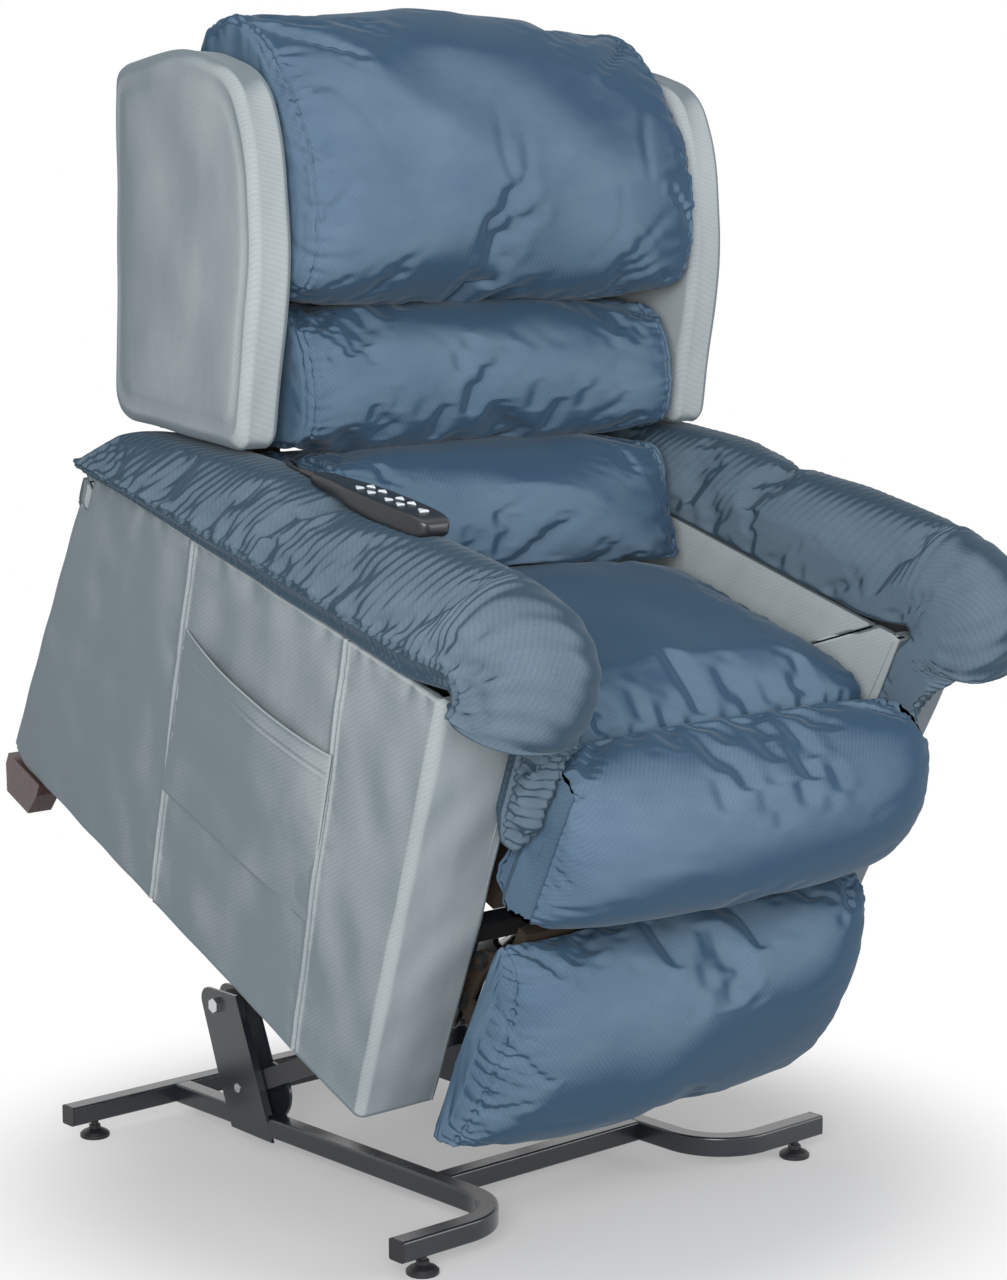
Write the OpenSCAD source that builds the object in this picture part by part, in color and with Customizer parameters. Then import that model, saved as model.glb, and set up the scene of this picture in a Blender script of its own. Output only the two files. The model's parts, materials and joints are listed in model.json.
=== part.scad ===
// Power lift recliner: steel lift base, four-bar lift, seat unit, reclining back and scissor legrest.
// Right-handed frame, +Z up, millimetres. The sitter faces -Y and +X is the sitter's left.
// The model is drawn with the lift fully up. Everything above the base is modelled in the frame of
// the lowered chair: Y runs from the front edge of the arms to the rear, Z up from the floor.

/* [Base] */
// Outside size of the square base tube
tube = 25.4; // [22:0.1:30]
// Wall of the square base tube
tube_wall = 1.8; // [1.2:0.1:3]
// Height of the tubes above the floor
tube_clear = 23.7; // [20:0.1:32]
// Distance from the centre plane to each side rail
rail_x = 172; // [165:1:180]
// Length of the rear cross tube
rear_tube_length = 690; // [640:1:692]
// Distance from the rear cross tube to the outriggers
base_depth = 671; // [650:1:684]
// Reach of each outrigger from the centre plane
outrigger_reach = 350; // [330:1:356]
// Centre-line radius of the rail bends
bend_radius = 75; // [60:1:85]
// Distance from the rear cross tube to the front cross tube
front_tube_y = 531; // [480:1:560]
// Distance of the rear levelling feet from the rear cross tube's ends
rear_foot_inset = 39; // [28:1:60]
// Distance of the front levelling feet from the outriggers' ends
front_foot_inset = 37; // [28:1:50]
// Diameter of a levelling foot
foot_d = 38.6; // [30:0.1:44]
// Height of a levelling foot
foot_h = 11.5; // [8:0.1:14]

/* [Lift] */
// Forward tilt of the seat unit with the lift fully up
tilt = 25; // [24:0.1:26]
// Front edge of the arms behind the rear tube's centre, lift up (negative is forward)
raised_y = -643.2; // [-646:0.1:-640]
// Height of the arms' front bottom edge, lift up
raised_z = 188.9; // [186:0.1:192]
// Front edge of the arms behind the rear tube's centre, lift down
lowered_y = -700; // [-703:0.1:-697]
// Distance of the tower's upper pivot in front of the rear tube
upper_pivot_y = -113; // [-116:1:-110]
// Distance of the tower's lower pivot in front of the rear tube
lower_pivot_y = -156; // [-159:1:-153]
// Thickness of the tower plates
plate = 4; // [3:0.5:5]
// Thickness of the lift arms and links
link_t = 6; // [4:0.5:6]
// Width of the upper lift arms
arm_w = 34; // [28:1:36]
// Width of the lower lift links
lower_link_w = 26; // [22:1:30]
// Radius of the lift pivot bolts
bolt_r = 6; // [5:0.5:7]
// Height of the cross tube between the towers
tower_tube_z = 91; // [88:1:94]

/* [Seat unit] */
// Gap under the arms with the lift down
arm_clear = 55; // [54:1:60]
// Distance from the centre plane to the arms' inner walls
seat_half = 292; // [290:1:298]
// Distance from the centre plane to an arm's outer face at its bottom edge
arm_out_low = 384; // [376:1:392]
// Outward lean of the arms' outer faces
arm_flare = 4.95; // [3:0.05:6]
// Height of the arm top at the front
arm_h_front = 598; // [590:1:606]
// Height of the arm top at the rear
arm_h_rear = 503; // [498:1:508]
// Length of the arm top
arm_l_top = 721; // [715:1:728]
// Length of the arm's bottom edge
arm_l_low = 778; // [770:1:785]
// Backward lean of the arm's front edge over its height
front_lean = 29; // [20:1:34]
// Thickness of the upholstered arm walls
arm_wall = 16; // [12:1:20]
// Thickness of the front facing panels of the arms
facing_t = 15; // [12:1:18]
// Width of an arm pad
pad_w = 170; // [160:1:176]
// Thickness of the wooden rails
wood = 22; // [18:1:26]
// Width of the seat cushion
seat_w = 556; // [540:1:560]
// Height of the wooden rear feet
wood_foot_h = 48; // [40:1:50]

/* [Back] */
// Recline of the upright back from vertical
back_rake = 23; // [20:0.5:25]
// Height of the wings along the back
wing_h = 411; // [400:1:425]
// Thickness of the wings
wing_t = 58; // [50:1:62]
// Width of the back over the wings
back_w = 760; // [748:1:764]
// Width of the head pillow
head_w = 636; // [620:1:640]
// Width of the middle pillow
middle_w = 604; // [580:1:612]
// Width of the lumbar pillow
lumbar_w = 550; // [530:1:556]
// Distance from the rear face of the back to its frame's front face
frame_v = 130; // [124:1:132]

/* [Legrest] */
// Length of the legrest's drive link
drive_link = 180; // [178:1:182]
// Extension of the drive link past its middle pivot
drive_tail = 50; // [48:1:52]
// Width of the legrest links
leg_link_w = 20; // [16:1:22]
// Width of the footrest pad
foot_pad_w = 590; // [570:1:600]

/* [Handset] */
// Length of the handset
handset_l = 222; // [190:1:230]
// Width of the handset's head
handset_w = 54; // [48:1:58]
// Thickness of the handset
handset_t = 21; // [18:1:24]
// Radius of the handset's buttons
button_r = 4.6; // [4:0.1:5]
// Travel of the buttons
button_travel = 1; // [0.6:0.1:1.4]

/* [Hidden] */
$fn = 40;

fit = 0.08;          // radial clearance of a turning pin
seat_gap = 0.3;      // gap between a soft piece and what it rests on
world_y = 450.1;       // moves the middle of the part's length to the origin
tube_z = tube_clear + tube / 2;
rear_foot_x = rear_tube_length / 2 - rear_foot_inset;
front_foot_x = outrigger_reach - front_foot_inset;
room = 1000;         // size of the blocks that trim a form, larger than any of them

// Layers of the mechanism, outwards from the centre plane
bracket_x = 243;                 // footrest brackets
layer_t = 5;                     // thickness of a legrest link
inner_layer = bracket_x + 9;     // front and tie links
outer_layer = inner_layer + 7;   // drive and control links
side_plate_x = outer_layer + 7;  // side plates
side_plate_t = 4.7;
side_x = side_plate_x + side_plate_t;

// ---- points in the side plane, as [rearward, up] ----
function turn(p, t) = [p[0] * cos(t) - p[1] * sin(t), p[0] * sin(t) + p[1] * cos(t)];
function raised(p) = [raised_y, raised_z] + turn(p - [0, arm_clear], tilt);
function lowered(p) = [lowered_y, 0] + p;
// Pivot on the tower that lies as far from a seat-unit pivot with the lift up as with the lift down
function tower_pivot(p, y) =
    let (r = raised(p), l = lowered(p), m = (r + l) / 2, d = r - l) [y, m[1] - (y - m[0]) * d[0] / d[1]];
function arc(c, r, from, to, n = 6) = [for (i = [0:n]) c + r * [cos(from + (to - from) * i / n),
                                                             sin(from + (to - from) * i / n)]];
function lerp(a, b, t) = a + (b - a) * t;

tower_tube_y = -190;        // tube between the towers, in front of the rear tube
seat_upper = [126, 126];    // upper lift pivot on the seat unit
seat_lower = [100, 80];     // lower lift pivot on the seat unit
tower_upper = tower_pivot(seat_upper, upper_pivot_y);
tower_lower = tower_pivot(seat_lower, lower_pivot_y);
motor_foot = [tower_tube_y, tower_tube_z + tube / 2 + 20];   // lift motor's pivot on the base
motor_eye = [110, 235];                                       // lift motor rod's pivot on the seat unit

// ---- frames ----
module on_base() translate([0, world_y, 0]) children();
module in_chair() on_base() translate([0, raised_y, raised_z]) rotate([tilt, 0, 0])
    translate([0, 0, -arm_clear]) children();
module mirrored() { children(); mirror([1, 0, 0]) children(); }

// ---- shared shapes ----
// A plate drawn in the side plane, from x on outwards
module plate_at(x, t) translate([x, 0, 0]) rotate([90, 0, 90]) linear_extrude(t) children();
// A pin along X between two distances from the centre plane
module pin(p, from, to, r) translate([from, p[0], p[1]]) rotate([0, 90, 0]) cylinder(r = r, h = to - from);
module hex_head(p, from, t, r) translate([from, p[0], p[1]]) rotate([0, 90, 0]) cylinder(r = r, h = t, $fn = 6);
// A link's outline: a bar with round ends, which are a hair wider than the straight between them
module bar_outline(p, q, w) {
    d = q - p;
    straight = w - 0.16;
    for (e = [p, q]) translate(e) circle(d = w);
    translate(p) rotate(atan2(d[1], d[0])) translate([0, -straight / 2]) square([norm(d), straight]);
}
module hole(p, r) translate(p) circle(r);
module rounded_square(w, r) {
    for (s = [0, 90]) rotate(s) square([w, w - 2 * r], center = true);
    for (x = [-1, 1], y = [-1, 1]) translate([x, y] * (w / 2 - r)) circle(r, $fn = 24);
}
module tube_section() difference() {
    rounded_square(tube, 3);
    rounded_square(tube - 2 * tube_wall, 3 - tube_wall);
}
// Square tube along X, centred on the side-plane point
module cross_tube(p, from, to) translate([from, p[0], p[1]]) rotate([90, 0, 90])
    linear_extrude(to - from) tube_section();
// Square tube along Y
module long_tube(x, z, from, to) translate([x, to, z]) rotate([90, 0, 0]) linear_extrude(to - from) tube_section();

// ---- soft shapes ----
// Closed smooth curve through hand-set points
function smooth(pts, per = 4) = let (n = len(pts)) [for (i = [0:n - 1], k = [0:per - 1])
    let (t = k / per, a = pts[(i + n - 1) % n], b = pts[i], c = pts[(i + 1) % n], d = pts[(i + 2) % n])
    0.5 * (2 * b + (c - a) * t + (2 * a - 5 * b + 4 * c - d) * t * t + (3 * b - a - 3 * c + d) * t * t * t)];
// Skin over rings of equal size, with flat ends
module skin(rings) {
    n = len(rings[0]);
    m = len(rings);
    polyhedron([for (r = rings) each r], concat(
        [for (j = [0:m - 2], i = [0:n - 1]) each [
            [j * n + i, (j + 1) * n + i, j * n + (i + 1) % n],
            [j * n + (i + 1) % n, (j + 1) * n + i, (j + 1) * n + (i + 1) % n]]],
        [for (i = [1:n - 2]) [0, i, i + 1]],
        [for (i = [1:n - 2]) [(m - 1) * n, (m - 1) * n + i + 1, (m - 1) * n + i]]), convexity = 4);
}
// A stuffed form: its side profile, drawn in towards a centre at both ends of its width.
// end is the share of its depth and of its height that is left there.
module crowned(profile, centre, half, end, soft = 8, count = 6, per = 4) {
    ring = smooth(profile, per);
    skin([for (j = [-count:count])
        let (s = sin(90 * j / count), f = end + ([1, 1] - end) * pow(1 - pow(abs(s), soft), 1 / 2.4))
        [for (p = ring) let (q = p - centre) [half * s, centre[0] + f[0] * q[0], centre[1] + f[1] * q[1]]]]);
}
// Rounded box between two corners, as the hull of eight balls
module soft_box(lo, hi, r) hull() for (x = [lo[0] + r, hi[0] - r], y = [lo[1] + r, hi[1] - r], z = [lo[2] + r, hi[2] - r])
    translate([x, y, z]) sphere(r, $fn = 16);

// ---- lift base ----
steel = "dimgray";

// Hole for a levelling foot's stud
module foot_hole(x, y) translate([x, y, 0]) cylinder(r = stud_r + fit, h = tube_z);

module rear_cross_tube() color(steel) on_base() difference() {
    cross_tube([0, tube_z], -rear_tube_length / 2, rear_tube_length / 2);
    mirrored() foot_hole(rear_foot_x, 0);
}

module front_cross_tube() color(steel) on_base()
    cross_tube([-front_tube_y, tube_z], -rail_x + tube / 2, rail_x - tube / 2);

// Straight run forward from the rear tube, then a quarter bend into the outrigger
module side_rail() {
    bend_y = -(base_depth - bend_radius);
    long_tube(rail_x, tube_z, bend_y, -tube / 2);
    translate([rail_x + bend_radius, bend_y, tube_z]) rotate([0, 0, 180])
        rotate_extrude(angle = 90) translate([bend_radius, 0]) tube_section();
    cross_tube([-base_depth, tube_z], rail_x + bend_radius, outrigger_reach);
}
module drilled_rail() difference() { side_rail(); foot_hole(front_foot_x, -base_depth); }
module left_side_rail() color(steel) on_base() drilled_rail();
module right_side_rail() color(steel) on_base() mirror([1, 0, 0]) drilled_rail();

plug_t = 2.4;
module plug(x, y) {
    translate([x, y, tube_z]) rotate([90, 0, 90]) linear_extrude(plug_t) rounded_square(tube, 3);
    translate([x - 12, y, tube_z]) rotate([90, 0, 90]) linear_extrude(12)
        rounded_square(tube - 2 * tube_wall - 0.3, 1);
}
module tube_end_plugs() color("#151515") on_base() mirrored() {
    plug(rear_tube_length / 2, 0);
    plug(outrigger_reach, -base_depth);
}

// Levelling foot: dished pad, lock nut and the stud that screws up into the tube
stud_r = 4.8;
module levelling_foot(x, y) color("#1c1c1c") on_base() translate([x, y, 0]) {
    rotate_extrude() polygon([[0, 0], [foot_d / 2 - 1.2, 0], [foot_d / 2, 1.2], [foot_d / 2, foot_h * 0.45],
        [foot_d / 2 - 3, foot_h * 0.7], [9, foot_h], [0, foot_h]]);
    translate([0, 0, foot_h - 1]) cylinder(r = 8.4, h = 6, $fn = 6);
    cylinder(r = stud_r, h = tube_clear + tube - tube_wall - 10);
}
module levelling_foot_rear_right() levelling_foot(-rear_foot_x, 0);
module levelling_foot_rear_left() levelling_foot(rear_foot_x, 0);
module levelling_foot_front_right() levelling_foot(-front_foot_x, -base_depth);
module levelling_foot_front_left() levelling_foot(front_foot_x, -base_depth);

// Each tower is a folded channel that straddles its side rail
tower_out = rail_x + tube / 2;
tower_in = rail_x - tube / 2 - plate;
module tower_outline(bulge) {
    top = tower_upper[1] + 20;
    polygon(concat([[lower_pivot_y + 14, tube_clear - 2], [lower_pivot_y - 72, tube_clear - 4],
        [upper_pivot_y - 40, top]], arc([upper_pivot_y + 18, top - 16], 16, 90, -20),
        [[upper_pivot_y + 2, 96]]));
    if (bulge) translate([tower_tube_y, tower_tube_z - 16]) circle(r = 38);
}
module tower_bores() {
    hole(tower_upper, bolt_r + 0.02);
    hole(tower_lower, bolt_r + 0.02);
}
module lift_tower() {
    plate_at(tower_out, plate) difference() { tower_outline(false); tower_bores(); }
    plate_at(tower_in, plate) difference() {
        tower_outline(true);
        tower_bores();
        translate([tower_tube_y, tower_tube_z]) square(tube, center = true);
    }
    // folded lip along the outer plate's front edge
    foot = [lower_pivot_y - 72, tube_clear - 4];
    head = [upper_pivot_y - 40, tower_upper[1] + 20];
    lean = atan2(head[1] - foot[1], head[0] - foot[0]);
    lip_from = (tube_clear + tube + 3 - foot[1]) / sin(lean);
    plate_at(tower_out - 7, 7) translate(foot) rotate(lean)
        translate([lip_from, -plate]) square([norm(head - foot) - lip_from, plate]);
}
module lift_towers() color(steel) on_base() mirrored() lift_tower();

module tower_cross_tube() color(steel) on_base() {
    cross_tube([tower_tube_y, tower_tube_z], -(tower_in + plate + 8), tower_in + plate + 8);
    for (x = [14, -18]) plate_at(x, 4) difference() {
        union() {
            hole(motor_foot, 12);
            translate([tower_tube_y - 12, tower_tube_z + tube / 2]) square([24, motor_foot[1] - tower_tube_z - tube / 2]);
        }
        hole(motor_foot, motor_pin_r + 0.02);
    }
}
motor_pin_r = 5;
module tower_pivots() color("#202020") on_base() {
    mirrored() {
        pin(tower_upper, tower_in - 4, tower_out + plate, bolt_r);
        hex_head(tower_upper, tower_out + plate, 7, 10);
        hex_head(tower_upper, tower_in - 7, 7, 10);
        pin(tower_lower, tower_in, tower_out + plate + 1, bolt_r);
    }
    pin(motor_foot, -20, 20, motor_pin_r);
}

// ---- lift linkage ----
arm_x = tower_in + plate + 1.2;             // lift arms run beside the towers' inner plates
link_x = tower_out - 9.2 - link_t;          // lift links run beside the outer plates' lips
arm_dir = (raised(seat_upper) - tower_upper) / norm(raised(seat_upper) - tower_upper);
torque_centre = tower_upper + arm_dir * norm(raised(seat_upper) - tower_upper) * 0.8
    + 12 * turn(arm_dir, 90);
open_fit = 1.9;                              // clearance of the loop's open pivot

module upper_lift_arms() color("#3a3b3d") on_base() {
    mirrored() plate_at(arm_x, link_t) difference() {
        union() {
            bar_outline(tower_upper, raised(seat_upper), arm_w);
            hole(torque_centre, 17);
        }
        hole(tower_upper, bolt_r + fit);
        hole(raised(seat_upper), bolt_r + fit);
    }
    difference() {
        pin(torque_centre, -arm_x, arm_x, tube / 2);
        pin(torque_centre, -arm_x - 1, arm_x + 1, tube / 2 - tube_wall);
    }
}
module lower_lift_links() color("#3a3b3d") on_base() mirrored() plate_at(link_x, link_t) difference() {
    bar_outline(tower_lower, raised(seat_lower), lower_link_w);
    hole(tower_lower, bolt_r + fit);
    hole(raised(seat_lower), bolt_r + open_fit);
}

// ---- motors: a hinged housing, and a rod that slides in its outer tube ----
// Local frame: the rod runs along +Y from the housing's pivot
module aimed(p, q) translate([0, p[0], p[1]]) rotate([atan2(q[1] - p[1], q[0] - p[0]), 0, 0]) children();
module along_y(from, to, r) translate([0, from, 0]) rotate([-90, 0, 0]) cylinder(r = r, h = to - from);
rod_r = 10;
gear_from = 22;      // gear housing behind the housing's pivot eye
gear_len = 62;
module screw_motor(tube_len, stroke_room, side) difference() {
    union() {
        rotate([0, 90, 0]) cylinder(r = 12, h = 27, center = true);
        translate([-11, 0, -12]) cube([22, gear_from + 2, 24]);
        translate([-27, gear_from, -24]) cube([54, gear_len, 48]);
        along_y(gear_from + gear_len, tube_len, 15);
        along_y(gear_from + gear_len, gear_from + gear_len + 14, 20);
        translate([side * 27 - 8, gear_from + 6, -16]) cube([16, 44, 32]);
        translate([side * 52, 0, 0]) along_y(gear_from, gear_from + 112, 21);
    }
    rotate([0, 90, 0]) cylinder(r = motor_pin_r + fit, h = 60, center = true);
    along_y(stroke_room, tube_len + 1, rod_r + fit);
}
module screw_rod(from, to, eye_fit) difference() {
    union() {
        along_y(from, to - 10, rod_r);
        translate([0, to, 0]) rotate([0, 90, 0]) cylinder(r = motor_pin_r + eye_fit + 4.5, h = 24, center = true);
    }
    translate([0, to, 0]) rotate([0, 90, 0]) cylinder(r = motor_pin_r + eye_fit, h = 30, center = true);
}

motor_reach = norm(raised(motor_eye) - motor_foot);
motor_stroke = motor_reach - norm(lowered(motor_eye) - motor_foot);
motor_eye_fit = 5.6;
module lift_motor() color("#26282a") on_base() aimed(motor_foot, raised(motor_eye))
    screw_motor(320, 62, 1);
module lift_motor_rod() color("silver") on_base() aimed(motor_foot, raised(motor_eye))
    screw_rod(66 + motor_stroke, motor_reach, motor_eye_fit);

// ---- seat unit: steel frame and mechanism plates ----
rail_out = 222;                 // lift frame rails' distance from the centre plane
rail_h = 154 + tube / 2;
cross_h = rail_h + tube;
back_pivot = [630, 475];
drive_pivot = [90, 300];
control_offset = [38, -22];     // from each drive-link pivot to its control-link pivot
bridge = [72, 238];             // tube that carries the lift motor's ears
recline_foot = [655, 225];
recline_eye = [540, 430];
seat_cross = [[240, 333], [412, 333]];

module lift_frame() color("#3a3b3d") in_chair() {
    mirrored() {
        long_tube(rail_out, rail_h, 40, 660);
        // bracket for the lift pivots: a web under the rail with two plates
        difference() {
            union() {
                translate([link_x - 17 + 0.5, 80, rail_h - tube / 2 - 4]) cube([rail_out + tube / 2 - link_x + 16.5, 80, 4]);
                for (x = [arm_x - 7.5, link_x + link_t + 3]) plate_at(x, 4) bracket_outline();
            }
            for (p = [seat_upper, seat_lower]) pin(p, arm_x - 20, link_x + 30, bolt_r + 0.02);
        }
        translate([rail_out - 4, bridge[0] - 12, rail_h + tube / 2]) cube([8, 24, bridge[1] - rail_h - tube]);
    }
    cross_tube([655, cross_h], -side_plate_x, side_plate_x);
    // the lift motor swings up between these two stubs
    mirrored() cross_tube([250, cross_h], rail_out - tube / 2, side_plate_x);
    cross_tube(bridge, -rail_out - tube / 2, rail_out + tube / 2);
    for (x = [14, -18]) plate_at(x, 4) difference() {
        union() { bar_outline([bridge[0] + 16, bridge[1] - 1], motor_eye, 23); }
        hole(motor_eye, motor_pin_r + 0.02);
        translate(bridge) square(tube, center = true);
    }
    for (x = [14, -18]) plate_at(x, 4) difference() {
        union() {
            hole(recline_foot, 12);
            translate([recline_foot[0] - 12, cross_h + tube / 2]) square([24, recline_foot[1] - cross_h - tube / 2]);
        }
        hole(recline_foot, motor_pin_r + 0.02);
    }
}
module bracket_outline() difference() {
    union() {
        bar_outline(seat_upper, seat_lower, 26);
        translate([88, seat_upper[1]]) square([50, rail_h - tube / 2 - seat_upper[1]]);
        translate([88, 82]) square([38, 50]);
    }
    translate([60, rail_h - tube / 2]) square([120, 40]);
}
module lift_frame_pivots() color("#202020") in_chair() {
    mirrored() for (p = [seat_upper, seat_lower]) {
        pin(p, arm_x - 12, link_x + link_t + 7, bolt_r);
        hex_head(p, link_x + link_t + 7, 5, 9);
    }
    pin(motor_eye, -20, 20, motor_pin_r);
    pin(recline_foot, -20, 20, motor_pin_r);
}

module mechanism_side_plates() color("#4a4c4f") in_chair() {
    mirrored() plate_at(side_plate_x, side_plate_t) difference() {
        polygon([[62, 282], [66, 325], [110, 350], [300, 346], [470, 356], [592, 500], [652, 502], [668, 470],
            [668, 172], [630, 156], [230, 166], [132, 256], [96, 266]]);
        hole(drive_pivot, drive_r + fit);
        hole(drive_pivot + control_offset, leg_pin_r + 0.02);
        hole(back_pivot, back_pin_r + 0.02);
        for (a = [0:3]) translate([330 + 66 * a, 240]) bar_outline([0, 0], [28, 0], 26);
    }
    mirrored() {
        pin(drive_pivot + control_offset, outer_layer - 1, side_x, leg_pin_r);
        pin(back_pivot, side_plate_x - 8, side_x, back_pin_r);
    }
    for (p = seat_cross) cross_tube(p, -side_plate_x, side_plate_x);
}
back_pin_r = 8;
leg_pin_r = 5;
drive_r = 12.7;

// Hardwood box that carries the seat springs
seat_rail_x = 226;
seat_rail_h = 390;
seat_from = 30;
seat_to = 492;
module seat_frame() color("burlywood") in_chair() {
    low = seat_cross[0][1] + tube / 2;
    mirrored() difference() {
        translate([seat_rail_x, seat_from, low]) cube([wood, seat_to - seat_from, seat_rail_h - 5 - low]);
        for (a = [seat_from, seat_to - wood]) translate([seat_rail_x - 1, a, low - 1]) cube([wood + 2, wood, 60]);
    }
    for (a = [seat_from, seat_to - wood]) translate([-seat_rail_x - wood, a, 300])
        cube([2 * (seat_rail_x + wood), wood, seat_rail_h - 5 - 300]);
}

// Zigzag springs across the seat, front rail to rear rail
spring_wire = 4;
spring_turns = 11;
module zigzag() {
    pitch = (seat_to - seat_from - wood) / spring_turns;
    reach = 34;
    for (i = [0:spring_turns]) translate([-reach / 2 + pitch / 2, i * pitch - spring_wire / 2])
        square([reach - pitch, spring_wire]);
    for (i = [0:spring_turns - 1]) translate([(i % 2 == 0 ? 1 : -1) * (reach / 2 - pitch / 2), (i + 0.5) * pitch])
        intersection() {
            difference() { circle(d = pitch + spring_wire); circle(d = pitch - spring_wire); }
            translate([i % 2 == 0 ? 0 : -pitch, -pitch]) square([pitch, 2 * pitch]);
        }
}
module seat_springs() color("#55585c") in_chair() for (i = [-2:2])
    translate([i * 88, seat_from + wood / 2, seat_rail_h - 5]) linear_extrude(spring_wire) zigzag();

module control_box() color("#1e1f21") in_chair() difference() {
    union() {
        translate([-200, 436, 305]) cube([140, seat_to - wood - 436, 60]);
        for (x = [-212, -60]) translate([x, seat_to - wood - 3, 315]) cube([12, 3, 40]);
        translate([-174, 425.2, 322]) cube([30, 11, 26]);
    }
    translate([-170, 424, 326]) cube([22, 11, 18]);      // mains inlet
}

// ---- arms ----
function out_x(h) = arm_out_low + (h - arm_clear) * tan(arm_flare);
lean_angle = atan(front_lean / (arm_h_front - arm_clear));
// Corners of an arm's side: [rearward, up], from the front bottom edge round to the rear top
function arm_corners(in) = [
    [in, arm_clear + in], [arm_l_low - 40, arm_clear + in], [arm_l_low - in, arm_clear + 16 + in * 0.4],
    [arm_l_top - in, arm_h_rear - in], [front_lean + in, arm_h_front - in]];
module arm_solid(in, drop, r, quality) hull() for (p = arm_corners(in + r)) for (side = [0, 1])
    translate([side == 0 ? seat_half + in + r : out_x(p[1]) - in - r, p[0], p[1] - drop * (p[1] < 200 ? 1 : 0)])
        sphere(r, $fn = quality);
module front_half(t) translate([200, 0, arm_clear]) rotate([-lean_angle, 0, 0])
    translate([0, t, -arm_h_front]) cube([arm_out_low, room, 2 * room]);
module arm_body() intersection() {
    difference() {
        arm_solid(0, 0, arm_round, 16);
        arm_solid(arm_wall, 60, 1, 8);
        translate([seat_half + arm_wall, -60, 40]) rotate([-lean_angle, 0, 0]) cube([66, 200, 380]);
    }
    front_half(facing_t);
}
fabric = "#4d6f7c";
module left_arm_body() color(fabric) in_chair() arm_body();
module right_arm_body() color(fabric) in_chair() mirror([1, 0, 0]) arm_body();

// Padded facing panel that closes the front of each arm
module arm_facings() color(fabric) in_chair() mirrored() translate([0, 0, arm_clear]) rotate([-lean_angle, 0, 0]) {
    top = (arm_h_front - arm_clear - 12) / cos(lean_angle);
    hull() for (p = [[271, 6], [out_x(arm_clear + 6) - 6, 6], [out_x(arm_clear + top) - 8, top - 6], [294, top - 6], [281, 210]])
        for (y = [4, facing_t - 1]) translate([p[0] + 2, y, p[1]]) sphere(y < 5 ? 4 : 0.8, $fn = 12);
}

// Hardwood boards between the mechanism plates and the arms, and the arms' own bottom rails
module arm_frames() color("burlywood") in_chair() mirrored() {
    difference() {
        plate_at(side_x, seat_half - side_x) difference() {
            polygon([[40, 150], [690, 120], [690, 345], [40, 345]]);
            for (a = [150, 330, 510]) translate([a, 190]) square([130, 90]);
        }
        pin(drive_pivot, side_x - 1, seat_half + 1, drive_r + 2);
        pin(drive_pivot + control_offset, side_x - 1, seat_half + 1, leg_pin_r + 2);
    }
    inside = seat_half + arm_wall + 0.4;
    translate([inside, 560, arm_clear + 1]) cube([arm_out_low - arm_wall - 2 - inside, arm_l_low - 600, 20]);
    translate([inside, 60, 120]) cube([wood, 560, 70]);
    translate([inside, 60, 425]) cube([wood, 540, 55]);
}

// Arm pad: swept back along the arm top, swelling to a roll over the front
pad_in = seat_half - 6.5;
arm_round = 9;                   // rounding of the arms' edges
top_slope = (arm_h_rear - arm_h_front) / (arm_l_top - front_lean - 2 * arm_round);
// Height of an arm's top, tangent to its rounded ends
function arm_top(a) = arm_h_front + arm_round * (norm([1, top_slope]) - 1)
    + top_slope * (a - front_lean - arm_round);
// Rings as [inner point, outer point, inner reach, outer reach] in the side plane
pad_rings = [
    for (s = [[718, 24], [700, 44], [640, 58], [570, 74], [500, 90], [430, 99], [360, 106], [290, 113], [220, 120],
        [150, 126], [90, 128]])
        [[s[0], arm_top(s[0]) + seat_gap], [s[0] - s[1] * 0.1, arm_top(s[0]) + s[1]], 0],
    for (k = [[80, 131], [105, 134], [130, 130], [155, 112], [180, 98]])
        [[26, 606] + 8 * [cos(k[0]), sin(k[0])], [30, 592] + k[1] * [cos(k[0]), sin(k[0])], 0],
    [[25, 586], [-60, 591], 0.45], [[24.3, 566], [-54, 572], 0.7], [[23, 535], [-46, 541], 0.77],
    [[22, 500], [-42, 505], 0.8],
    [[19.5, 455], [-39, 458], 0.82], [[17.5, 420], [-30, 420], 0.84]];
// Section across a pad, as [across, up] in shares of its width and rise: upright inside, crowned, full outside
pad_section = smooth([[0.96, 0.1], [1, 0.26], [0.975, 0.45], [0.88, 0.72], [0.7, 0.93], [0.5, 1], [0.3, 0.985],
    [0.12, 0.86], [0.025, 0.6], [0, 0.25], [0.03, 0.02], [0.3, 0], [0.6, 0], [0.88, 0.01]], 2);
module arm_pad() {
    m = len(pad_rings) - 1;
    skin([for (j = [0:m]) let (g = pad_rings[j], last = j == 0 || j == m, w = last ? 0.82 : 1, t = last ? 0.5 : 1,
            lo = pad_in + (1 - w) * 40, hi = pad_in + pad_w * (1 - g[2]) - (1 - w) * (1 - g[2]) * 200)
        [for (p = pad_section) let (q = g[0] + (g[1] - g[0]) * (0.5 + (max(p[1], 0) - 0.5) * t))
            [lo + (hi - lo) * p[0], q[0], q[1]]]]);
}
module left_arm_pad() color("#3f6478") in_chair() arm_pad();
module right_arm_pad() color("#3f6478") in_chair() mirror([1, 0, 0]) arm_pad();

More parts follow.
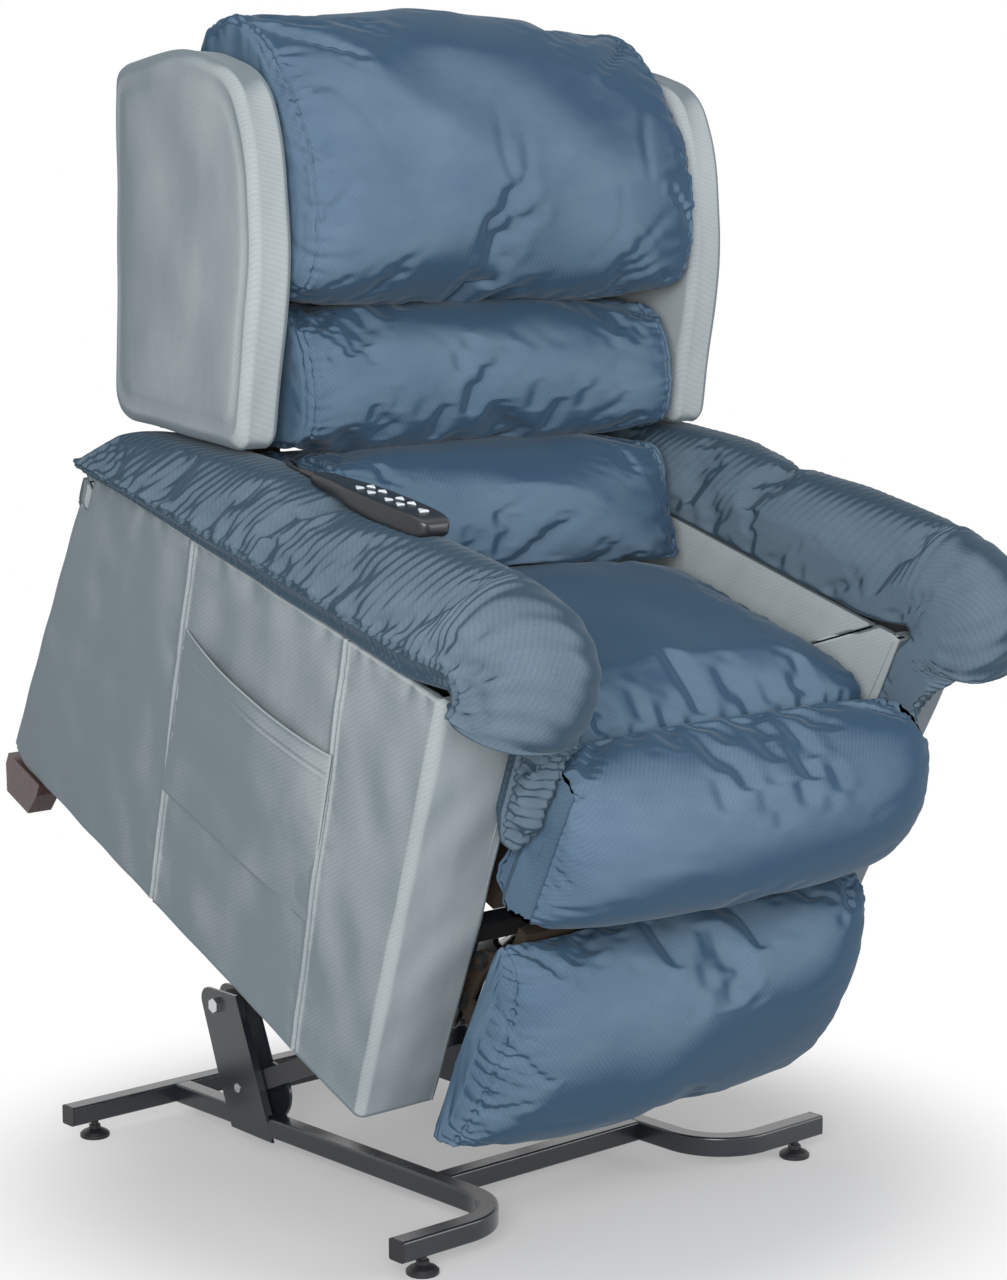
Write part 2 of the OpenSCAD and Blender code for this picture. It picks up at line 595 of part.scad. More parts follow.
// Pouch on the outside of the right arm, open at the top
pocket_gap = 14;
module on_arm_side() mirror([1, 0, 0]) translate([arm_out_low, 0, arm_clear]) rotate([0, arm_flare, 0]) children();
module pouch(in) {
    low = [[453, 208], [154, 221]] - [[0, 55], [0, 55]];
    high = [[470, 430], [176, 438]] - [[0, 55], [0, 55]];
    hull() for (side = [0, 1]) {
        translate([seat_gap, low[side][0] + (side * 2 - 1) * in, low[side][1] + in]) cube([3 + in * 0.2, 1, 1]);
        translate([seat_gap, high[side][0] + (side * 2 - 1) * in, high[side][1] + (in > 0 ? 12 : 0)])
            cube([1, 1, 1]);
        for (d = [40]) translate([seat_gap, lerp(high[side][0], 320, 0.16) + (side * 2 - 1) * in, high[side][1] - 8 + (in > 0 ? 20 : 0)])
            cube([pocket_gap + 4 - (in > 0 ? 2.5 : 0), 1, 1]);
        translate([seat_gap, lerp(low[side][0], 320, 0.12) + (side * 2 - 1) * in, low[side][1] + 60])
            cube([pocket_gap - (in > 0 ? 2.5 : 0), 1, 1]);
    }
}
module magazine_pocket() color("#456774") in_chair() on_arm_side() difference() {
    pouch(0);
    translate([1.2, 0, 0]) pouch(4);
}

// Tapered hardwood feet under the rear of the arms
module wooden_feet() color("#4a2a1e") in_chair() mirrored() translate([355, 0, 0]) rotate([90, 0, 90])
    linear_extrude(35) polygon([[692, wood_foot_h - 9], [700, arm_clear - wood_foot_h], [753, arm_clear - wood_foot_h],
        [769, wood_foot_h - 9], [769, arm_clear], [692, arm_clear]]);

// ---- seat cushions ----
module seat_cushion() color("#2f5468") in_chair() difference() {
    crowned([[22, 400], [14.8, 470], [22, 532], [60, 549], [160, 542], [280, 527], [360, 510], [424, 478],
        [430, 405], [300, 388], [120, 388]], [200, 440], seat_w / 2, [0.84, 0.76]);
    translate([-room / 2, -room / 2, seat_rail_h - 1 + seat_gap - room]) cube(room);
}
module seat_front_roll() color("#33596d") in_chair() difference() {
    crowned([[12, 536], [-30, 547], [-88, 530], [-126, 482], [-135, 430], [-118, 368], [-62, 328], [-12, 338],
        [22, 350], [27, 382], [12, 404], [9.5, 432], [12, 480]], [-50, 430], foot_pad_w / 2 + 7, [0.8, 0.8]);
    translate([-room / 2, seat_from - seat_gap, 0]) cube(room);
    mirrored() translate([pad_in - 1, -58, 0]) cube(room);
    mirrored() translate([seat_w / 2 - 10, -1, 0]) cube(room);
}

// ---- back ----
back_foot = [744, 553];
module in_back() in_chair() translate([0, back_foot[0], back_foot[1]]) rotate([-back_rake, 0, 0]) children();
// Side-plane points of the back's own frame, as [rearward, along], in the chair's frame
function from_back(p) = back_foot + turn(p, -back_rake);
function into_back(p) = turn(p - back_foot, back_rake);
post_x = bracket_x + 17;         // outer faces of the back's posts
post_w = 35;
post_t = 30;
wing_in = back_w / 2 - wing_t;
post_from = -150;
module back_frame() color("burlywood") in_back() {
    mirrored() translate([post_x - post_w, -frame_v, post_from]) cube([post_w, post_t, wing_h - 6 - post_from]);
    for (u = [post_from, 60]) translate([-post_x + post_w, -frame_v, u])
        cube([2 * (post_x - post_w), post_t, 30]);
    translate([-post_x + post_w, -frame_v, wing_h - 46]) cube([2 * (post_x - post_w), post_t, 40]);
    mirrored() for (u = [20, 200, wing_h - 46]) translate([post_x, -frame_v, u]) cube([wing_in - post_x, post_t, 40]);
}
module back_brackets() color("#4a4c4f") in_chair() {
    eye = into_back(recline_eye);
    pivot = into_back(back_pivot);
    mirrored() difference() {
        union() {
            translate([0, back_foot[0], back_foot[1]]) rotate([-back_rake, 0, 0]) plate_at(post_x, 5) union() {
                translate([-frame_v, post_from]) square([post_t, 165]);
                translate(pivot) circle(r = 22);
                translate([pivot[0] - 46, pivot[1] - 22]) square([46, 44]);
            }
        }
        pin(back_pivot, post_x - 1, post_x + 6, back_pin_r + fit);
    }
    translate([0, back_foot[0], back_foot[1]]) rotate([-back_rake, 0, 0]) for (x = [14, -18]) plate_at(x, 4)
        difference() {
            union() {
                bar_outline([-frame_v + 12, post_from - 11], eye, 22);
                translate([-frame_v, post_from - 16]) square([post_t, 16]);
            }
            hole(eye, motor_pin_r + 0.02);
        }
    pin(recline_eye, -20, 20, motor_pin_r);
}
module back_straps() color("#2b2b2b") in_back() for (u = [-96, -30, 110, 160, 240, 290]) translate([-post_x, -frame_v - 2, u])
    cube([2 * post_x, 2, 44]);
module back_rear_panel() color("#456774") in_back()
    soft_box([-wing_in + seat_gap, -18, -16], [wing_in - seat_gap, 0, wing_h + 4], 6);

module wing() hull() for (p = [[0, 0], [wing_h, 0], [wing_h + 8, 16], [wing_h + 24, 136], [wing_h, 234],
    [328, 268], [203, 281], [-9, 256], [-19, 246]]) for (x = [wing_in, wing_in + wing_t])
        translate([x + (x > wing_in ? -13 : 13), -p[1] - 13 * (p[1] > 140 ? -1 : 1), p[0] + (p[0] > 150 ? -13 : 13)])
            sphere(13, $fn = 16);
module left_wing() color("#456774") in_back() wing();
module right_wing() color("#456774") in_back() mirror([1, 0, 0]) wing();

// Clear of the frame, its straps and its top rail
module frame_room() translate([-room / 2, -frame_v - 2 - seat_gap, wing_h - 4 - room]) cube(room);
module head_pillow() color("#2f5468") in_back() difference() {
    crowned([[-236, 150], [-288, 159], [-312, 215], [-304, 290], [-272, 365], [-206, 452], [-140, 486], [-75, 472],
        [-56, 436], [-96, 412], [-128, 372], [-126, 270], [-126, 168], [-184, 150]], [-190, 300], head_w / 2,
        [0.68, 0.88]);
    frame_room();
}
module middle_pillow() color("#2f5468") in_back() difference() {
    crowned([[-134, -18], [-230, -24], [-272, -18], [-291, 14], [-288, 60], [-272, 110], [-238, 139], [-186, 145],
        [-134, 142], [-128, 60]], [-195, 62], middle_w / 2, [0.72, 0.92]);
    frame_room();
}
module lumbar_pillow() color("#33596d") in_back() difference() {
    crowned([[-131, -34], [-240, -32], [-296, -42], [-326, -110], [-350, -172], [-338, -182], [-262, -146],
        [-160, -112], [-130, -98]], [-220, -90], lumbar_w / 2, [0.74, 0.9]);
    frame_room();
}

recline_reach = norm(recline_eye - recline_foot);
recline_eye_fit = 2.4;
module recline_motor() color("#26282a") in_chair() aimed(recline_foot, recline_eye) screw_motor(178, 62, -1);
module recline_motor_rod() color("silver") in_chair() aimed(recline_foot, recline_eye)
    screw_rod(66, recline_reach, recline_eye_fit);

// ---- legrest: drive and control links make a parallelogram, tie links turn the footrest ----
drive_angle = -64.3;
drive_mid = drive_pivot + drive_link * [cos(drive_angle), sin(drive_angle)];
drive_end = drive_pivot + (drive_link + drive_tail) * [cos(drive_angle), sin(drive_angle)];
foot_pivot = drive_mid + [-149, 100];
tie_pivot = foot_pivot + [10, -60];
tie_fit = 4.2;         // clearance of the loop's open pivot
tie_pin_r = 4;

module legrest_drive() color("#3a3b3d") in_chair() {
    mirrored() {
        plate_at(outer_layer, layer_t) difference() {
            bar_outline(drive_pivot, drive_end, leg_link_w);
            hole(drive_mid, leg_pin_r + fit);
        }
        pin(drive_end, inner_layer - 1, outer_layer + layer_t, leg_pin_r);
    }
    difference() {
        pin(drive_pivot, -side_x - 1, side_x + 1, drive_r);
        pin(drive_pivot, -side_x - 2, side_x + 2, drive_r - tube_wall);
    }
}
module legrest_control_links() color("#4a4c4f") in_chair() mirrored() plate_at(outer_layer, layer_t) difference() {
    bar_outline(drive_pivot + control_offset, drive_mid + control_offset, 16);
    hole(drive_pivot + control_offset, leg_pin_r + fit);
    hole(drive_mid + control_offset, leg_pin_r + 0.3);
}
module legrest_front_links() color("#4a4c4f") in_chair() mirrored() {
    plate_at(inner_layer, layer_t) difference() {
        union() {
            bar_outline(drive_mid, foot_pivot, leg_link_w);
            bar_outline(drive_mid, drive_mid + control_offset, leg_link_w);
        }
        hole(foot_pivot, leg_pin_r + fit);
    }
    for (p = [drive_mid, drive_mid + control_offset]) pin(p, inner_layer, outer_layer + layer_t + 1, leg_pin_r);
}
module legrest_tie_links() color("#4a4c4f") in_chair() mirrored() plate_at(inner_layer, layer_t) difference() {
    union() {
        bar_outline(drive_end, tie_pivot, 18);
        hole(tie_pivot, tie_pin_r + tie_fit + 4);
    }
    hole(drive_end, leg_pin_r + fit);
    hole(tie_pivot, tie_pin_r + tie_fit);
}
board_front = -25;
board_t = 15;
module footrest_board() color("burlywood") in_chair() {
    translate([-bracket_x, board_front, 40]) cube([2 * bracket_x, board_t, 262]);
    mirrored() {
        plate_at(bracket_x, 6) union() {
            translate([board_front, 120]) square([board_t, 160]);
            bar_outline([board_front + 12, 250], foot_pivot, 22);
            bar_outline(foot_pivot, tie_pivot, 22);
            bar_outline([board_front + 12, 150], tie_pivot, 22);
        }
        pin(foot_pivot, bracket_x, inner_layer + layer_t + 1, leg_pin_r);
        pin(tie_pivot, bracket_x, inner_layer + layer_t + 1, tie_pin_r);
    }
}
module footrest_pad() color("#33596d") in_chair() difference() {
    crowned([[-26, 34], [-44, 16], [-84, 26], [-118, 88], [-133, 170], [-126, 246], [-98, 298], [-60, 315], [-28, 300],
        [-22, 170]], [-60, 180], foot_pad_w / 2, [0.82, 0.86]);
    translate([-room / 2, board_front - seat_gap, -room / 2]) cube(room);
}

// ---- handset ----
handset_x = -358;
handset_rear = [388, arm_top(388) + 104.2];
handset_lift = 5.977 - atan(top_slope);
module on_handset() in_chair() translate([handset_x, handset_rear[0], handset_rear[1]])
    rotate([-handset_lift, 0, 0]) children();
button_top = handset_t + 1.6;
button_places = [[-9, -86], [9, -86], [-9, -106], [9, -106], [-9, -136], [9, -136], [-9, -156], [9, -156], [0, -184]];
module handset() color("#3b4046") on_handset() {
    difference() {
        hull() for (p = [[-handset_w / 2, -handset_l + 8], [handset_w / 2, -handset_l + 8], [-handset_w / 2, -72],
            [handset_w / 2, -72], [-17, 0], [17, 0]]) for (z = [5, handset_t - 5])
                translate([p[0] - sign(p[0]) * 5, p[1] + (p[1] < -100 ? 5 : -5), z]) sphere(5, $fn = 16);
        for (p = button_places) translate([p[0], p[1], handset_t - 5]) cylinder(r = button_r + 0.25, h = 10, $fn = 24);
        translate([0, -44, handset_t - 1]) cylinder(r = 3, h = 4, $fn = 24);
    }
    for (i = [0:3]) translate([0, i * 6, handset_t / 2]) rotate([-90, 0, 0]) cylinder(r = 5.4 - i * 0.6, h = 4);
    translate([0, 0, handset_t / 2]) rotate([-90, 0, 0]) cylinder(r = 3.2, h = 26);
}
module button(i) color("gainsboro") on_handset() translate([button_places[i - 1][0], button_places[i - 1][1], 0])
    rotate_extrude($fn = 24) polygon([[0, handset_t - 5 + button_travel + 0.1], [button_r, handset_t - 5 + button_travel + 0.1],
        [button_r, button_top - 0.8], [button_r - 0.8, button_top], [0, button_top]]);

// Cord from the handset, over the pad's inner edge and down beside the seat to the control box
cord_r = 2.2;
function from_handset(y, z) = handset_rear + turn([y, z], -handset_lift);
cord_start = from_handset(26, handset_t / 2);
cord_lead = from_handset(36, handset_t / 2);
cord_route = [
    [handset_x, cord_start[0], cord_start[1]], [handset_x, cord_lead[0], cord_lead[1]],
    for (p = [[-350, 452, 110], [-332, 474, 103], [-311, 488, 91], [-296, 496, 79], [-285, 500, 63], [-281, 501, 44],
        [-280.5, 500, 14]]) p + [0, 0, arm_top(476)],
    [-280.5, 494, 500], [-280.5, 480, 450], [-280.5, 463, 408], [-279, 452, 384], [-269, 449, 364], [-259, 449, 356],
    [-252, 449, 342], [-242, 449, 337], [-224, 449, 335], [-200, 449, 335]];
function along(pts, per) = let (n = len(pts)) concat([for (i = [0:n - 2], k = [0:per - 1])
    let (t = k / per, a = pts[max(i - 1, 0)], b = pts[i], c = pts[i + 1], d = pts[min(i + 2, n - 1)])
    0.5 * (2 * b + (c - a) * t + (2 * a - 5 * b + 4 * c - d) * t * t + (3 * b - a - 3 * c + d) * t * t * t)],
    [pts[n - 1]]);
function unit(v) = v / norm(v);
module cord(pts, r, sides) {
    n = len(pts);
    skin([for (i = [0:n - 1]) let (
            t = unit(pts[min(i + 1, n - 1)] - pts[max(i - 1, 0)]),
            a = unit(cross(t, abs(t[1]) > 0.9 ? [1, 0, 0] : [0, 1, 0])), b = cross(t, a))
        [for (k = [0:sides - 1]) pts[i] + r * (cos(360 * k / sides) * a + sin(360 * k / sides) * b)]]);
}
module handset_cord() color("#151515") in_chair() cord(along(cord_route, 3), cord_r, 8);

rear_cross_tube();
front_cross_tube();
right_side_rail();
left_side_rail();
tube_end_plugs();
lift_towers();
tower_cross_tube();
tower_pivots();
levelling_foot_rear_right();
levelling_foot_rear_left();
levelling_foot_front_right();
levelling_foot_front_left();
upper_lift_arms();
lower_lift_links();
lift_motor();
lift_motor_rod();
lift_frame();
lift_frame_pivots();
mechanism_side_plates();
seat_frame();
seat_springs();
control_box();
right_arm_body();
left_arm_body();
arm_facings();
arm_frames();
right_arm_pad();
left_arm_pad();
magazine_pocket();
wooden_feet();
seat_cushion();
seat_front_roll();
back_frame();
back_brackets();
back_straps();
back_rear_panel();
right_wing();
left_wing();
head_pillow();
middle_pillow();
lumbar_pillow();
recline_motor();
recline_motor_rod();
legrest_drive();
legrest_control_links();
legrest_front_links();
legrest_tie_links();
footrest_board();
footrest_pad();
handset();
handset_cord();
button(1);  // button_1
button(2);  // button_2
button(3);  // button_3
button(4);  // button_4
button(5);  // button_5
button(6);  // button_6
button(7);  // button_7
button(8);  // button_8
button(9);  // button_9
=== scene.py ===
"""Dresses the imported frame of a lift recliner: upholstery, handset, cord, finishes and studio."""
import json
import math

import bpy
import numpy as np
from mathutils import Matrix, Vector


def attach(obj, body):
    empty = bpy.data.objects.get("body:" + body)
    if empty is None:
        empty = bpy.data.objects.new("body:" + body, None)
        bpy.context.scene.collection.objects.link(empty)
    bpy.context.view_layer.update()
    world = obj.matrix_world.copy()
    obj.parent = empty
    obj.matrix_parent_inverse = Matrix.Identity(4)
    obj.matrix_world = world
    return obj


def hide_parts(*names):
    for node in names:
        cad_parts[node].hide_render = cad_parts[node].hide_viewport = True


bl_info = {
    "name": "Lift Recliner",
    "version": (1, 0, 0),
    "blender": (4, 5, 0),
    "location": "View3D > Sidebar > Recliner",
    "description": "Builds the upholstery, controls and finishes of a lift recliner around its frame",
    "category": "Object",
}

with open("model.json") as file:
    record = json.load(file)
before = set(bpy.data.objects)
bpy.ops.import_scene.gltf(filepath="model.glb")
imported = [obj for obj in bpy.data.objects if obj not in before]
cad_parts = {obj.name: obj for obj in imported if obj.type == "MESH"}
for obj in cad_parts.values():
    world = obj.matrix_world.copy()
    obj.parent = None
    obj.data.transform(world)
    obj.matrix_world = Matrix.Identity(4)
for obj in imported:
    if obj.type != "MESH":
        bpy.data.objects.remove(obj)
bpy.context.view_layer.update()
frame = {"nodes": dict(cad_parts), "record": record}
NODES = frame["nodes"]
MM = 0.001
SENSOR = 36

# ---- the frames that the chair is drawn in, in millimetres ----
TILT = math.radians(25)           # forward tilt of the seat unit, lift up
RAISED = (-193.1, 188.9)          # the arms' front bottom corner, lift up
ARM_CLEAR = 55                    # its height with the lift down
BACK_RAKE = math.radians(23)
BACK_FOOT = (744, 553)
SEAT_HALF = 292                   # inner walls of the arms
PAD_IN = 285.5                    # inner faces of the arm pads
PAD_WIDTH = 170
FRAME_V = 130                     # front face of the back's posts
WING_IN = 322
WING_T = 58


def turned(a, b, angle):
    """The point (a, b) turned about the origin."""
    c, s = math.cos(angle), math.sin(angle)
    return a * c - b * s, a * s + b * c


def in_chair(points):
    """Points (x, rearward, up) of the lowered chair, in millimetres, as metres in the row frame."""
    p = np.asarray(points, float)
    y, z = turned(p[..., 1], p[..., 2] - ARM_CLEAR, TILT)
    return np.stack([p[..., 0], RAISED[0] + y, RAISED[1] + z], -1) * MM


def in_back(points):
    """Points (x, forward, along) of the back's own frame as points of the lowered chair."""
    p = np.asarray(points, float)
    y, z = turned(-p[..., 1], p[..., 2], -BACK_RAKE)
    return np.stack([p[..., 0], BACK_FOOT[0] + y, BACK_FOOT[1] + z], -1)


# ---- curves, waves and folds ----
def run_along(points):
    """Distance along a line of points, or along the rows of a grid at their mean spacing."""
    steps = np.linalg.norm(np.diff(points, axis=0), axis=-1)
    return np.concatenate([[0], np.cumsum(steps if steps.ndim == 1 else steps.mean(1))])


def evenly(loop, count):
    """A closed outline as count points, evenly spaced along its length."""
    loop = np.vstack([loop, loop[:1]])
    run = run_along(loop)
    at = np.linspace(0, run[-1], count, endpoint=False)
    return np.stack([np.interp(at, run, loop[:, k]) for k in (0, 1)], -1)


def spline_weights(count, per, closed):
    """Weights that carry count points to per times as many on the smooth curve through them."""
    spans = count if closed else count - 1
    at = np.arange(spans * per + (0 if closed else 1)) / per
    first = np.minimum(at.astype(int), spans - 1)
    t = at - first
    weights = np.zeros((len(at), count))
    shares = (-t + 2 * t**2 - t**3, 2 - 5 * t**2 + 3 * t**3, t + 4 * t**2 - 3 * t**3, t**3 - t**2)
    for k, share in enumerate(shares):
        index = first + k - 1
        index = index % count if closed else np.clip(index, 0, count - 1)
        np.add.at(weights, (np.arange(len(at)), index), share / 2)
    return weights


def smooth_line(points, per):
    """Open smooth curve through points of any dimension."""
    return spline_weights(len(points), per, False) @ np.array(points, float)


def smooth_loop(points, count):
    """Closed smooth curve through given points, evenly spaced along its length."""
    return evenly(spline_weights(len(points), 24, True) @ np.array(points, float), count)


def finer(grid, rows, turns, closed=True):
    """The grid with rows and turns times as many points, on the smooth surface through them."""
    a = spline_weights(grid.shape[0], rows, False)
    b = spline_weights(grid.shape[1], turns, closed)
    return np.einsum("ij,jlc->ilc", a, np.einsum("lk,jkc->jlc", b, grid))


def step(x, low, high):
    """0 below low, 1 above high, smooth between."""
    t = np.clip((x - low) / (high - low), 0, 1)
    return t * t * (3 - 2 * t)


def lumps(points, size, seed, count=28):
    """Smooth random waves, about -1 to 1, whose bumps are about size across."""
    rng = np.random.default_rng(seed)
    p = np.asarray(points, float)
    way = rng.normal(size=(count, p.shape[-1]))
    way *= (math.pi / size * rng.uniform(0.6, 1.5, count) / np.linalg.norm(way, axis=1))[:, None]
    return np.cos(p @ way.T + rng.uniform(0, 2 * math.pi, count)).sum(-1) / math.sqrt(count) * 1.1


def gathers(edge, run, seed, pitch, reach, deep, width=4.0, slant=0.16):
    """Depth of the pinched folds that run out of a seam.

    edge is each point's distance from the seam and run its way along it, in millimetres."""
    rng = np.random.default_rng(seed)
    edge, run = np.broadcast_arrays(edge, run)
    low, high = float(run.min()), float(run.max())
    count = max(2, int((high - low) / pitch))
    depth = np.zeros(run.shape)
    for k in range(count):
        place = low + (high - low) * (k + rng.uniform(0.1, 0.9)) / count
        far = reach * rng.uniform(0.35, 1.2)
        wide = width * rng.uniform(0.7, 1.4)
        hard = deep * rng.uniform(0.45, 1.15)
        lean = slant * rng.normal()
        near = (np.abs(run - place) < reach * 0.6 + 30) & (edge < far)
        e = edge[near]
        share = e / far
        off = (run[near] - place - lean * e) / (wide * (1 + 1.8 * share))
        depth[near] -= hard * (1 - share)**1.25 * np.exp(-off * off)
    return depth + 0.38 * deep * np.clip(1 - edge / reach, 0, 1)**1.5


def crease(x, y, line, width, deep):
    """Depth of a soft crease along given points, which fades at both ends and has a low ridge on each side."""
    p = smooth_line(line, 10)
    valley, ridge = np.zeros(x.shape), np.zeros(x.shape)
    for k, q in enumerate(p):
        fade = math.sin(math.pi * (k + 0.5) / len(p))**0.7
        far = ((x - q[0])**2 + (y - q[1])**2) / width**2
        valley = np.maximum(valley, fade * np.exp(-far))
        ridge = np.maximum(ridge, fade * np.exp(-far / 6))
    return deep * (0.55 * ridge - 1.3 * valley)


def groove(distance, width, deep, lip=0.35):
    """Depth of a sewn seam with its two low rolls of cloth."""
    return deep * (lip * np.exp(-((np.abs(distance) - 2.6 * width) / (1.8 * width))**2)
                   - np.exp(-(distance / width)**2))


# ---- meshes ----
def grid_normals(p, closed=True):
    """Unit normals of a grid of points, rows by turns, pointing away from its middle."""
    rows = np.gradient(p, axis=0)
    if closed:
        turns = (np.roll(p, -1, axis=1) - np.roll(p, 1, axis=1)) / 2
    else:
        turns = np.gradient(p, axis=1)
    n = np.cross(turns, rows)
    n /= np.maximum(np.linalg.norm(n, axis=-1, keepdims=True), 1e-9)
    return -n if (n * (p - p.reshape(-1, 3).mean(0))).sum() < 0 else n


def grid_mesh(name, points, closed=True, flat_map=None):
    """Mesh over a grid of points in metres, capped where it is closed; its UV map follows the cloth, in metres.

    flat_map gives the two axes of the map where the cloth is a flat panel."""
    m, n = points.shape[:2]
    wide = np.concatenate([points, points[:, :1]], axis=1)
    if flat_map is None:
        u, v = np.meshgrid(run_along(wide.swapaxes(0, 1)), run_along(points))
    else:
        u, v = (wide @ np.array(axis, float) for axis in flat_map)
    verts = points.reshape(-1, 3).tolist()
    faces, uvs = [], []
    for j in range(m - 1):
        for i in range(n if closed else n - 1):
            k = (i + 1) % n
            faces.append((j * n + i, j * n + k, (j + 1) * n + k, (j + 1) * n + i))
            uvs += [(u[q], v[q]) for q in ((j, i), (j, i + 1), (j + 1, i + 1), (j + 1, i))]
    if closed:
        for row, flip in ((0, True), (m - 1, False)):
            verts.append(tuple(points[row].mean(0)))
            for i in range(n):
                k = (i + 1) % n
                ends = (k, i) if flip else (i, k)
                faces.append((row * n + ends[0], row * n + ends[1], len(verts) - 1))
                uvs += [(u[row, i], v[row, i])] * 3
    mesh = bpy.data.meshes.new(name)
    mesh.from_pydata(verts, [], faces)
    mesh.uv_layers.new(name="cloth").data.foreach_set("uv", np.array(uvs, float).ravel())
    mesh.polygons.foreach_set("use_smooth", [True] * len(mesh.polygons))
    made = bpy.data.objects.new(name, mesh)
    bpy.context.scene.collection.objects.link(made)
    if closed and sum(f.normal.dot(f.center) * f.area for f in mesh.polygons) < 0:
        mesh.flip_normals()
    return made


def apply_tool(piece, modifier):
    """Applies one modifier of a piece."""
    bpy.context.view_layer.objects.active = piece
    bpy.ops.object.modifier_apply(modifier=modifier.name)


def thicken(piece, thickness, outward):
    """Gives an open cloth its thickness inwards; outward is the side of the chair that it faces, -1 or 1."""
    if sum(f.normal.x * f.area for f in piece.data.polygons) * outward < 0:
        piece.data.flip_normals()
    backing = piece.modifiers.new("backing", "SOLIDIFY")
    backing.thickness, backing.offset = thickness, -1
    apply_tool(piece, backing)


def finish_piece(piece, body, slot, replaced=(), finish=None):
    """Gives a piece its finish and its body, and hides the nodes that it stands for."""
    piece.data.materials.clear()
    piece.data.materials.append(FINISHES[finish or slot])
    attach(piece, body)
    if replaced:
        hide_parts(*replaced)
    return piece


def both_sides(points):
    """Each side's name with the points as they lie there; they are given for the left side."""
    return ("right", points * (-1, 1, 1)), ("left", points)


# ---- stuffed forms ----
def pillow(outline, centre, half, end, soft=8.0):
    """Grid (x, two side-plane values) of a stuffed form whose side outline draws in at its ends.

    end is the share of its depth and of its height that is left there, and soft how late it draws in."""
    rows, turns, cap = 46, 88, 4
    ring = smooth_loop(outline, turns)
    middle, end = np.array(centre, float), np.array(end, float)
    shares = np.sin(np.linspace(-math.pi / 2, math.pi / 2, rows))
    reach = end + (1 - end) * ((1 - np.abs(shares)**soft)**(1 / 2.4))[:, None]
    t = np.linspace(0, math.pi / 2 * 0.96, cap + 1)[1:]
    closing, bulge = end * np.cos(t)[:, None], 1 + 0.003 * np.sin(t)
    shares = np.concatenate([-bulge[::-1], shares, bulge])
    reach = np.concatenate([closing[::-1], reach, closing])
    side = middle + reach[:, None, :] * (ring - middle)[None]
    x = np.repeat((half * shares)[:, None], turns, axis=1)
    return np.concatenate([x[..., None], side], -1)


def stuffed(grid, held, slack, cap):
    """The grid once its cloth has been filled from inside, with the held points kept where they are.

    slack is the share of spare cloth, which gathers at what is held; cap is the furthest that a point moves."""
    scene, frames = bpy.context.scene, 20
    piece = grid_mesh("cover", grid * MM)
    group = piece.vertex_groups.new(name="held")
    last = len(piece.data.vertices)
    group.add([*map(int, np.flatnonzero(held.ravel())), last - 2, last - 1], 1.0, "REPLACE")
    cloth = piece.modifiers.new("stuffing", "CLOTH")
    for key, value in {"quality": 6, "mass": 0.25, "tension_stiffness": 18, "compression_stiffness": 18,
                       "shear_stiffness": 6, "bending_stiffness": 0.35, "use_pressure": True,
                       "uniform_pressure_force": 4.0, "shrink_min": -slack, "vertex_group_mass": "held",
                       "pin_stiffness": 1.0}.items():
        setattr(cloth.settings, key, value)
    cloth.settings.effector_weights.gravity = 0
    cloth.point_cache.frame_end = frames
    for frame_number in range(1, frames + 1):
        scene.frame_set(frame_number)
    apply_tool(piece, cloth)
    out = np.empty(last * 3)
    piece.data.vertices.foreach_get("co", out)
    bpy.data.objects.remove(piece)
    scene.frame_set(1)
    moved = out.reshape(-1, 3)[:held.size].reshape(grid.shape) / MM - grid
    far = np.linalg.norm(moved, axis=-1, keepdims=True)
    return grid + moved * np.minimum(1, cap / np.maximum(far, 1e-6))


def pushed(points, depth, closed=True):
    """The grid moved along its normals by depth, outwards where depth is positive."""
    return points + grid_normals(points, closed) * np.asarray(depth)[..., None]


def end_gathers(p, half, strip, seed, deep, reach, pitch):
    """Depths of the seams near both ends of a stuffed form, and of the folds on both sides of them."""
    depth = np.zeros(p.shape[:2])
    run = run_along(p[len(p) // 2])[None]
    middle, along = np.median(p[..., 0], axis=1), run_along(p)
    order = np.argsort(middle)
    for side in (-1, 1):
        part = middle * side > 0
        seam = np.interp(side * (half - strip), middle[order], along[order])
        off = np.broadcast_to((side * (seam - along[part]))[:, None], depth[part].shape)
        edge = np.where(off >= 0, off, -2.2 * off)           # the folds are shorter on the end's side
        depth[part] += gathers(edge, run, seed + side, pitch, reach, deep)
        depth[part] += gathers(edge, run, seed + 60 + 7 * side, pitch * 3.2, reach * 1.8, deep * 0.6, 9.0, 0.3)
        depth[part] += groove(off, 1.8, 2.2)
    return depth


def filled(context, outline, centre, half, end, rest, seed, ends, waves, soft=8.0, slack=0.02, rows=5):
    """Grid of a stuffed cushion, and the depths of its end seams and of the waves of its cloth.

    rest tells which points lie on the frame, from their two side-plane values. ends holds the width of the strip
    outside each end seam and the gathers' share of depth, reach and pitch; waves holds a height and a size."""
    cloth = context.scene.recliner_cloth
    strip, share, reach, pitch = ends
    p = pillow(outline, centre, half, end, soft)
    held = (np.abs(p[..., 0]) > half * 0.99) | rest(p[..., 1], p[..., 2])
    p = finer(stuffed(p, held, slack, cloth.swell / MM), rows, 4)
    depth = end_gathers(p, half, strip, seed, cloth.gather / MM * share, reach, pitch)
    return p, depth + waves[0] * lumps(p, waves[1], seed + 1)


def front_folds(context, p, creases, seed, foot, pitch, reach, share, width=9, hard=1.0):
    """Depths of a cushion's front creases and of the gathers over its lower seam, foot away from each point."""
    x, up = p[..., 0], p[..., 2]
    depth = context.scene.recliner_cloth.gather / MM * share
    folds = sum(crease(x, up, mark, width, hard) for mark in creases)
    return folds + gathers(foot, x, seed, pitch, reach, depth, 6)


